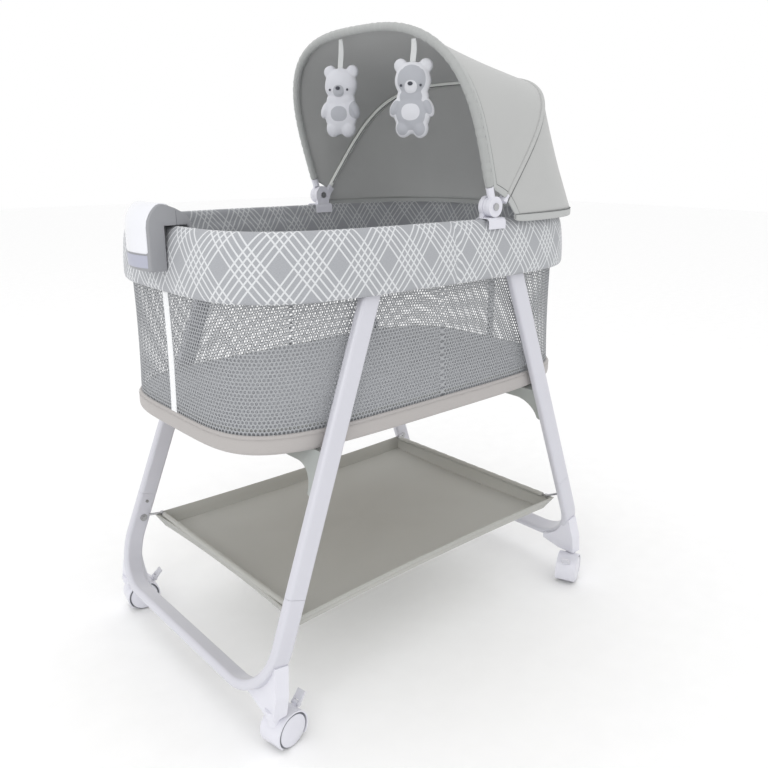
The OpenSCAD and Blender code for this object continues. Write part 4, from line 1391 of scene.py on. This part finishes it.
    def bow_channel(self) -> None:
        """The cloth channel round the bow, with a dark seam outside and inside."""
        path = self.bow_line(0.0)[1:-1]
        channel = tube_piece("canopy_bow_channel", path, 4.7 * MM, 14)
        dressed(channel, "canopy_fabric", CANOPY_OUTSIDE, CANOPY_INSIDE_PAINTED_LIGHT)
        hub = Vector(((self.centre_x + self.hub_x) * MM, 0, self.hub_z * MM))
        # Faces towards the hub take the lighter inside cloth: painted light through the canopy.
        for face in channel.data.polygons:
            face.material_index = 0 if face.normal.dot(face.center - hub) > 0 else 1
        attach(channel, "bow")
        outside = self.strip(self.rear_grid(), (0.2,), (0.5,), 1)[:, 0]
        thread = tube_piece("canopy_bow_seam_outside", outside, 0.7 * MM, 6)
        dressed(thread, "canopy_fabric", SEAM_THREAD)
        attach(thread, "bow")
        inner = self.bow_line(-4.7)[2:-2]
        thread = tube_piece("canopy_bow_seam_inside", inner, 1.0 * MM, 6)
        dressed(thread, "canopy_fabric", SEAM_THREAD)
        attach(thread, "bow")

    def sleeve(self) -> None:
        """The padded sleeve round the hoop, gently gathered."""
        path = resample(self.hoop_line(0.0), 420)
        marks = np.arange(len(path))
        radius = 6.9 + 0.35 * np.sin(marks * 0.83) * np.sin(marks * 0.11 + 1.0) + 0.2 * np.sin(marks * 1.9)
        radius[:3] -= (1.2, 0.6, 0.2)
        radius[-3:] -= (0.2, 0.6, 1.2)
        piece = tube_piece("hoop_sleeve_cloth", path, radius * MM, 18)
        dressed(piece, "binding_fabric", SLEEVE_CLOTH)
        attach(piece, "hoop")
        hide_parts("hoop_sleeve", "canopy_hoop")

    def hem(self) -> None:
        """The stiff bound edge that clips round the head end of the rim."""
        middle = (self.hem_low + self.hem_high) / 2
        section = rounded_line([(0.3, self.hem_high + 0.6), (2.4, self.hem_high + 0.2), (3.2, self.hem_high - 1.6),
                                (3.4, middle), (3.2, self.hem_low + 1.4), (2.2, self.hem_low - 0.1),
                                (0.4, self.hem_low), (-0.2, self.hem_low + 1.2), (-0.2, middle),
                                (-0.2, self.hem_high)], 22)
        grid = np.stack([self.hem_line(grow, z) for grow, z in section])
        ends = np.linspace(0, 1, 7)
        drop = (1 - np.sqrt(1 - (1 - ends) ** 2)) * (self.hem_high - self.hem_low) * 0.35
        for k, amount in enumerate(drop[:-1]):
            for column in (k, grid.shape[1] - 1 - k):
                towards = grid[:, column, 2] - self.hem_high * MM
                grid[:, column, 2] = self.hem_high * MM + towards * (1 - amount / (self.hem_high - self.hem_low))
        outline = Outline(self.hem_length, self.hem_width, 4.0, self.centre_x)
        piece = grid_piece("canopy_hem_band", grid, (self.centre_x * MM + 0.1, 0, self.hem_low * MM + 0.006))
        finish_with(piece, "SOLIDIFY", thickness=0.5 * MM, offset=-1.0)
        dressed(piece, "binding_fabric", BINDING)
        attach(piece, "root")
        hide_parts("canopy_hem")
        LOG.info("hem runs %.3f m of a %.3f m outline", lengths_along(grid[3])[-1], outline.perimeter())
        thread = tube_piece("canopy_hem_seam", self.hem_line(2.6, self.hem_high + 0.2), 0.7 * MM, 6)
        dressed(thread, "binding_fabric", SEAM_THREAD)
        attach(thread, "root")

    def build(self) -> None:
        """Make the whole canopy."""
        self.hem()
        self.sleeve()
        self.bow_channel()
        self.cloth()


# ---------- hanging toys ----------


@dataclass
class HangingToy:
    """A small plush toy on a ribbon. Sizes in millimetres, in the toy's own plane."""

    name: str
    node: str
    body: str
    centre_x: float
    y: float
    top: float
    drop: float
    finish_slot: str
    pile: Colour
    second: Colour
    front_panel: bool
    patches: Tuple[ToyPatch, ...]
    turn: float = math.radians(30)
    hook_x: float = 2.39
    body_half: float = 30.0
    ribbon_width: float = 9.0

    @property
    def head_top(self) -> float:
        """Height of the top of the head."""
        return self.top - self.drop

    def place(self) -> Matrix:
        """Matrix from the toy's own plane to the model."""
        spot = Vector((self.centre_x + self.hook_x, self.y, self.head_top)) * MM
        return Matrix.Translation(spot) @ Matrix.Rotation(self.turn, 4, "Z")

    def lump(self, mesh: object, centre: Triple, half: Triple, tilt: float = 0.0) -> None:
        """Add one stuffed lump.

        Args:
            mesh: The bmesh that takes it.
            centre: Depth, across and up.
            half: Half sizes.
            tilt: Turn in the toy's plane in degrees.
        """
        spot = Matrix.Translation(Vector(centre) * MM) @ Matrix.Rotation(math.radians(tilt), 4, "X")
        size = Matrix.Diagonal((half[0] * MM, half[1] * MM, half[2] * MM, 1.0))
        bmesh.ops.create_icosphere(mesh, subdivisions=4, radius=1.0, matrix=self.place() @ spot @ size)

    def plush(self) -> bpy.types.Object:
        """The stuffed body.

        Returns:
            The piece.
        """
        mesh = bmesh.new()
        self.lump(mesh, (0, 0, -32), (14, 29.5, 28))
        self.lump(mesh, (0, 0, -80), (14, self.body_half, 33))
        self.lump(mesh, (0, 0, -56), (12, 26.5, 17))
        self.lump(mesh, (-11, 0, -42), (4.6, 10.5, 10))
        for side in (-1, 1):
            self.lump(mesh, (1, side * 20.5, -10.5), (6.5, 11.5, 11.5))
            self.lump(mesh, (-3, side * 27, -72), (8.5, 8, 15), side * 24)
            self.lump(mesh, (-1, side * 13.5, -103), (11, 13.5, 15))
        data = bpy.data.meshes.new(self.name)
        mesh.to_mesh(data)
        mesh.free()
        piece = placed(data)
        finish_with(piece, "REMESH", mode="VOXEL", voxel_size=1.5 * MM, use_smooth_shade=True)
        finish_with(piece, "SMOOTH", factor=0.5, iterations=5)
        back = self.place().inverted()
        for vertex in piece.data.vertices:
            spot = back @ vertex.co
            seam = math.exp(-(spot.x / (1.1 * MM)) ** 2) * 1.1
            vertex.co -= vertex.normal * seam * MM
            vertex.co += vertex.normal * noise.noise(vertex.co * 70) * 0.9 * MM
        finish = ToyPlush(f"{self.name}_plush", self.pile, self.second, tuple(self.place().translation),
                          self.turn, self.patches, self.front_panel)
        dressed(piece, self.finish_slot, finish)
        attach(piece, self.body)
        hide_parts(self.node)
        return piece

    def features(self) -> None:
        """Embroidered eyes and nose."""
        spots = [("nose", (-16.0, 0.0, -37.6), (1.5, 4.2, 3.0)),
                 ("eye_left", (-12.6, 16.0, -40.0), (1.1, 1.9, 2.0)),
                 ("eye_right", (-12.6, -16.0, -40.0), (1.1, 1.9, 2.0))]
        for label, centre, half in spots:
            mesh = bmesh.new()
            self.lump(mesh, centre, half)
            data = bpy.data.meshes.new(f"{self.name}_{label}")
            mesh.to_mesh(data)
            mesh.free()
            piece = placed(data)
            data.polygons.foreach_set("use_smooth", [True] * len(data.polygons))
            dressed(piece, self.finish_slot, EMBROIDERY)
            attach(piece, self.body)

    def ribbon(self) -> None:
        """The ribbon that hangs the toy, with a soft twist."""
        length = self.drop + 9
        rows = []
        for share in np.linspace(0, 1, 26):
            angle = self.turn * share + 0.35 * math.sin(share * math.pi)
            across = np.array([-math.sin(angle), math.cos(angle)])
            bend = 1.2 * math.sin(share * math.pi * 1.5)
            centre = np.array([self.centre_x + self.hook_x + bend, self.y])
            height = self.top - length * share + 0.5
            rows.append([(*(centre + across * offset * self.ribbon_width / 2), height)
                         for offset in (-1, -0.9, -0.5, 0, 0.5, 0.9, 1)])
        grid = np.array(rows) * MM
        piece = grid_piece(f"{self.name}_ribbon", grid, (1.0, 0.4, 0.9))
        finish_with(piece, "SOLIDIFY", thickness=0.8 * MM, offset=0.0)
        dressed(piece, self.finish_slot, RIBBON_CLOTH)
        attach(piece, self.body)

    def build(self) -> None:
        """Make the toy."""
        self.plush()
        self.features()
        self.ribbon()


# ---------- vibration unit ----------


@dataclass
class VibrationUnit:
    """The unit that hangs over the foot end of the rim. Sizes in millimetres, x measured outwards."""

    centre_x: float
    half_width: float = 37.0
    face: float = 420.0
    back: float = 386.6
    sag: float = 8.0
    cover_half: float = 34.0
    key_half: float = 32.6
    key_low: float = 702.0
    key_high: float = 720.6
    slices: int = 14
    outline: Tuple[Pair, ...] = (
        (386.6, 697), (414, 697), (417.6, 698.4), (419.5, 701.5), (420, 706), (420, 734), (420, 760), (418, 769),
        (414, 776), (409, 782), (403, 787), (397.5, 790), (392, 791), (386, 790.6), (380, 789), (368, 784.5),
        (356, 778), (350.5, 773.5), (346.5, 767.5), (343.5, 761), (342, 754), (341, 740), (342.5, 737.6),
        (346.5, 737.6), (348, 740), (348.4, 756), (351, 760.6), (386.6, 760.6))

    def bowed(self, out: float, y: float) -> float:
        """Distance out of a point of the case, drawn in towards the sides.

        Args:
            out: Distance out on the centre line.
            y: Distance across.

        Returns:
            The distance out at y.
        """
        share = max(0.0, (out - self.back) / (self.face - self.back))
        return out - self.sag * (y / self.half_width) ** 2 * share

    def case(self) -> None:
        """The grey case with its hook, extruded in slices and rounded at the sides."""
        bpy.ops.object.select_all(action="DESELECT")
        bpy.ops.mesh.primitive_circle_add(vertices=len(self.outline), radius=0.05, fill_type="NGON")
        piece = bpy.context.active_object
        piece.name = "unit_case_shell"
        take(piece)
        for vertex, (out, z) in zip(piece.data.vertices, self.outline):
            vertex.co = Vector((self.centre_x - out, -self.half_width, z)) * MM
        step = 2 * self.half_width / self.slices * MM
        bpy.ops.object.mode_set(mode="EDIT")
        bpy.ops.mesh.select_all(action="SELECT")
        for _ in range(self.slices):
            bpy.ops.mesh.extrude_region_move(TRANSFORM_OT_translate={"value": (0, step, 0)})
        bpy.ops.mesh.select_all(action="SELECT")
        bpy.ops.mesh.normals_make_consistent(inside=False)
        bpy.ops.object.mode_set(mode="OBJECT")
        for vertex in piece.data.vertices:
            out, y = self.centre_x - vertex.co.x / MM, vertex.co.y / MM
            vertex.co.x = (self.centre_x - self.bowed(out, y)) * MM
        finish_with(piece, "BEVEL", width=2.8 * MM, segments=4, limit_method="ANGLE",
                    angle_limit=math.radians(50), use_clamp_overlap=True)
        take(piece)
        bpy.ops.object.shade_smooth_by_angle(angle=math.radians(32))
        dressed(piece, "unit_grey", CASE_PLASTIC)
        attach(piece, "root")
        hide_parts("unit_case", "unit_hook")

    def patch(self, name: str, path: Sequence[Pair], half: float, proud: float, first_round: float,
              last_round: float, depth: float) -> bpy.types.Object:
        """A moulded panel that follows the case's surface, with rolled edges and rounded corners.

        Args:
            name: Name of the piece.
            path: Distance out and height along the middle.
            half: Half its width.
            proud: How far it stands off the case.
            first_round: Corner radius at the path's start.
            last_round: Corner radius at its end.
            depth: Thickness.

        Returns:
            The piece.
        """
        line = rounded_line(path, 46, 1)
        travelled = lengths_along(line)
        tangent = np.gradient(line, axis=0)
        tangent /= np.linalg.norm(tangent, axis=1)[:, None]
        normal = np.stack([tangent[:, 1], -tangent[:, 0]], axis=1)
        shares = np.concatenate([[-1, -0.985, -0.96], np.linspace(-0.93, 0.93, 23), [0.96, 0.985, 1]])
        rows = []
        for k, (out, z) in enumerate(line):
            near, far = travelled[k], travelled[-1] - travelled[k]
            width = half
            if near < first_round:
                width -= first_round - math.sqrt(max(0.0, first_round ** 2 - (first_round - near) ** 2))
            if far < last_round:
                width -= last_round - math.sqrt(max(0.0, last_round ** 2 - (last_round - far) ** 2))
            row = []
            for share in shares:
                edge = min((1 - abs(share)) * width, near, far)
                lift = proud * min(1.0, math.sqrt(max(0.0, edge) / 1.3)) - 0.4
                y = share * width
                place_out, place_z = out + normal[k, 0] * lift, z + normal[k, 1] * lift
                row.append((self.centre_x - self.bowed(place_out, y), y, place_z))
            rows.append(row)
        middle = ((self.centre_x - 380) * MM, 0, 0.74)
        piece = grid_piece(name, np.array(rows) * MM, middle)
        finish_with(piece, "SOLIDIFY", thickness=depth * MM, offset=-1.0)
        return piece

    def build(self) -> None:
        """Make the unit's outside."""
        self.case()
        cover = self.patch("unit_gloss_cover", ((420, 722), (420, 741), (420, 760), (418, 769), (414, 776), (409, 782),
                           (403, 787), (397.5, 790), (392, 791), (386, 790.6), (380, 789), (373, 786.4)),
                           self.cover_half, 1.9, 4.0, 12.0, 0.9)
        dressed(cover, "unit_white", COVER_PLASTIC)
        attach(cover, "root")
        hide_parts("unit_fascia")
        key = self.patch("unit_press_key", ((419.2, self.key_low), (420, 706), (420, self.key_high)),
                         self.key_half, 1.5, 2.5, 1.5, 1.6)
        dressed(key, "unit_blue", KEY_PLASTIC)
        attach(key, "button")
        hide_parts("power_button")
        edge = self.half_width + 0.05
        seam = [(368, -edge, 761), (368, -edge, 781.5), (368, -edge + 3, 784.4), (368, edge - 3, 784.4),
                (368, edge, 781.5), (368, edge, 761)]
        line = np.array([((self.centre_x - out), y, z) for out, y, z in seam]) * MM
        groove = tube_piece("unit_parting_line", resample(line, 60), 0.32 * MM, 6)
        dressed(groove, "unit_grey", GROOVE_PLASTIC)
        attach(groove, "root")


@dataclass
class CasterCaps:
    """The white discs that cover the outsides of the casters' twin wheels."""

    radius: float = 25.4
    thickness: float = 2.2
    stand_off: float = 20.7
    corners: Tuple[str, ...] = ("foot_front", "foot_back", "head_front", "head_back")

    def disc(self) -> bpy.types.Object:
        """One cap, lying flat at the origin with its outside up.

        Returns:
            The piece.
        """
        bpy.ops.object.select_all(action="DESELECT")
        bpy.ops.mesh.primitive_cylinder_add(vertices=72, radius=self.radius * MM, depth=self.thickness * MM)
        piece = bpy.context.active_object
        take(piece)
        bpy.ops.object.mode_set(mode="EDIT")
        bpy.ops.mesh.select_all(action="DESELECT")
        bpy.ops.object.mode_set(mode="OBJECT")
        for face in piece.data.polygons:
            face.select = face.normal.z > 0.9
        bpy.ops.object.mode_set(mode="EDIT")
        bpy.ops.mesh.select_mode(type="FACE")
        for thickness, depth in ((1.2, 0.45), (1.0, -0.3), (0.6, 0.25), (8.0, 0.5), (8.0, 0.2)):
            bpy.ops.mesh.inset(thickness=thickness * MM, depth=depth * MM)
        bpy.ops.object.mode_set(mode="OBJECT")
        finish_with(piece, "BEVEL", width=0.35 * MM, segments=2, limit_method="ANGLE",
                    angle_limit=math.radians(40), use_clamp_overlap=True)
        take(piece)
        bpy.ops.object.shade_smooth_by_angle(angle=math.radians(40))
        return piece

    def build(self) -> None:
        """Copy the cap to both sides of every caster."""
        spins = {joint["child"]: joint for joint in frame["joints"]}
        model = self.disc()
        for corner in self.corners:
            joint = spins[f"wheels_{corner}"]
            axis, spot = Vector(joint["axis"]).normalized(), Vector(joint["pos_m"])
            for label, side in (("left", -1), ("right", 1)):
                piece = model.copy()
                piece.data = model.data.copy()
                piece.name = f"caster_cap_{corner}_{label}"
                bpy.context.scene.collection.objects.link(piece)
                out = axis * side
                reach = (self.stand_off - self.thickness / 2 - 1.1) * MM
                turn = out.to_track_quat("Z", "Y").to_matrix().to_4x4()
                piece.data.transform(Matrix.Translation(spot + out * reach) @ turn)
                dressed(piece, "wheel_white", WHITE_PLASTIC)
                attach(piece, f"wheels_{corner}")
        bpy.data.objects.remove(model)


# ---------- hard pieces ----------


@dataclass
class Stand:
    """The frame, casters and hubs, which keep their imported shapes."""

    corners: Tuple[str, ...] = ("foot_front", "foot_back", "head_front", "head_back")

    def build(self) -> None:
        """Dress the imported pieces."""
        paint_nodes(WHITE_PAINT, "lower_frame_foot", "lower_frame_head", *(f"upper_leg_{c}" for c in self.corners))
        paint_nodes(WHITE_PLASTIC, "caster_sockets", *(f"caster_hood_{c}" for c in self.corners))
        paint_nodes(TREAD, *(f"caster_wheels_{c}" for c in self.corners))
        paint_nodes(PEDAL_PLASTIC, *(f"brake_pedal_{c}" for c in self.corners))
        paint_nodes(BEAM_PLASTIC, "cross_beam_foot", "cross_beam_head")
        paint_nodes(WEB_PLASTIC, "canopy_clip_front", "canopy_clip_back", "hoop_sockets", "canopy_bow")
        paint_nodes(STEEL, "frame_screws", "rim_tube_foot", "rim_tube_head", "rim_connectors", "base_tube",
                    "shelf_rods", "hub_pins", "vibration_motor", "eccentric_weight",
                    *(f"snap_button_{c}" for c in self.corners))
        paint_nodes(FIBRE_BOARD, "base_board")
        paint_nodes(CELL_WRAP, "battery_cells")
        paint_nodes(BOARD_LACQUER, "circuit_board")
        paint_nodes(CASE_PLASTIC, "battery_door")


# ---------- studio ----------


@dataclass
class Studio:
    """Plain pale floor, soft lights and the camera."""

    centre_x: float
    lens: float = 35.616
    sensor: float = 36.0

    def floor(self) -> None:
        """The floor the stand is on."""
        bpy.ops.object.select_all(action="DESELECT")
        bpy.ops.mesh.primitive_plane_add(size=1.0)
        floor = bpy.context.active_object
        floor.name = "studio_floor"
        take(floor)
        bpy.ops.object.mode_set(mode="EDIT")
        bpy.ops.transform.resize(value=(24.0, 24.0, 1.0))
        bpy.ops.mesh.subdivide(number_cuts=3)
        bpy.ops.object.mode_set(mode="OBJECT")
        floor.data.transform(Matrix.Translation((0, 0, -0.0002)))
        paper = MouldedPlastic("studio_paper", tone(255, 255, 255), 0.9, 0.0)
        floor.data.materials.append(paper.material())

    def lamp(self, name: str, place: Triple, aim: Triple, size: float, power: float) -> None:
        """Add one soft light.

        Args:
            name: Name of the light.
            place: Where it stands.
            aim: Where it points.
            size: Width of the light in metres.
            power: Watts.
        """
        data = bpy.data.lights.new(name, "AREA")
        data.shape = "SQUARE"
        data.size = size
        data.energy = power
        lamp = bpy.data.objects.new(name, data)
        lamp.location = place
        lamp.rotation_euler = (Vector(aim) - Vector(place)).to_track_quat("-Z", "Y").to_euler()
        bpy.context.scene.collection.objects.link(lamp)

    def camera(self) -> None:
        """The camera at the catalogue angle."""
        data = bpy.data.cameras.new("camera")
        data.lens = self.lens
        data.sensor_width = self.sensor
        data.clip_end = 60
        camera = bpy.data.objects.new("camera", data)
        right = Vector((0.74503, -0.66701, 0.00517)).normalized()
        forward = Vector((0.63945, 0.71201, -0.29007)).normalized()
        up = right.cross(forward).normalized()
        right = forward.cross(up)
        turn = Matrix((right, up, -forward)).transposed().to_4x4()
        spot = Vector((self.centre_x - 883.52, -1055.31, 859.89)) * MM
        camera.matrix_world = Matrix.Translation(spot) @ turn
        bpy.context.scene.collection.objects.link(camera)
        bpy.context.scene.camera = camera

    def build(self) -> None:
        """Set up the studio."""
        self.floor()
        self.camera()
        self.lamp("key_light", (-2.4, -1.6, 1.7), (0, 0, 0.6), 1.8, 16)
        self.lamp("top_light", (-0.6, 0.4, 3.4), (0, 0, 0.4), 2.2, 8)
        world = bpy.data.worlds.new("studio_world")
        world.use_nodes = True
        background = world.node_tree.nodes["Background"]
        background.inputs["Color"].default_value = (1.0, 1.0, 1.0, 1.0)
        background.inputs["Strength"].default_value = 1.0
        bpy.context.scene.world = world
        bpy.context.scene.view_settings.view_transform = "Standard"


def main() -> None:
    """Build every piece in order."""
    logging.basicConfig(level=logging.INFO, format="%(message)s")
    low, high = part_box("rim_band")
    centre_x = (low.x + high.x) / 2 / MM
    studio = Studio(centre_x)
    studio.build()
    Stand().build()
    Basket(centre_x).build()
    Shelf(centre_x).build()
    Canopy(centre_x).build()
    VibrationUnit(centre_x).build()
    CasterCaps().build()
    white, grey, cream = tone(206, 207, 213), tone(168, 170, 176), tone(208, 209, 214)
    HangingToy("toy_bear_white", "bear_white", "bear_white_body", centre_x, 47.0, 1046.0, 41.0, "toy_white",
               white, grey, False,
               (ToyPatch(0, -42, 10, 9.6), ToyPatch(0, -79, 15, 12.5), ToyPatch(-31, -72, 13, 15))).build()
    HangingToy("toy_bear_grey", "bear_grey", "bear_grey_body", centre_x, -133.0, 1030.0, 28.0, "toy_grey",
               cream, grey, True,
               (ToyPatch(0, -42, 10, 9.6, False), ToyPatch(0, -79, 15, 12.5, False),
                ToyPatch(21, -8, 10, 9, False), ToyPatch(-21, -8, 10, 9, False))).build()


if __name__ == "__main__":
    main()
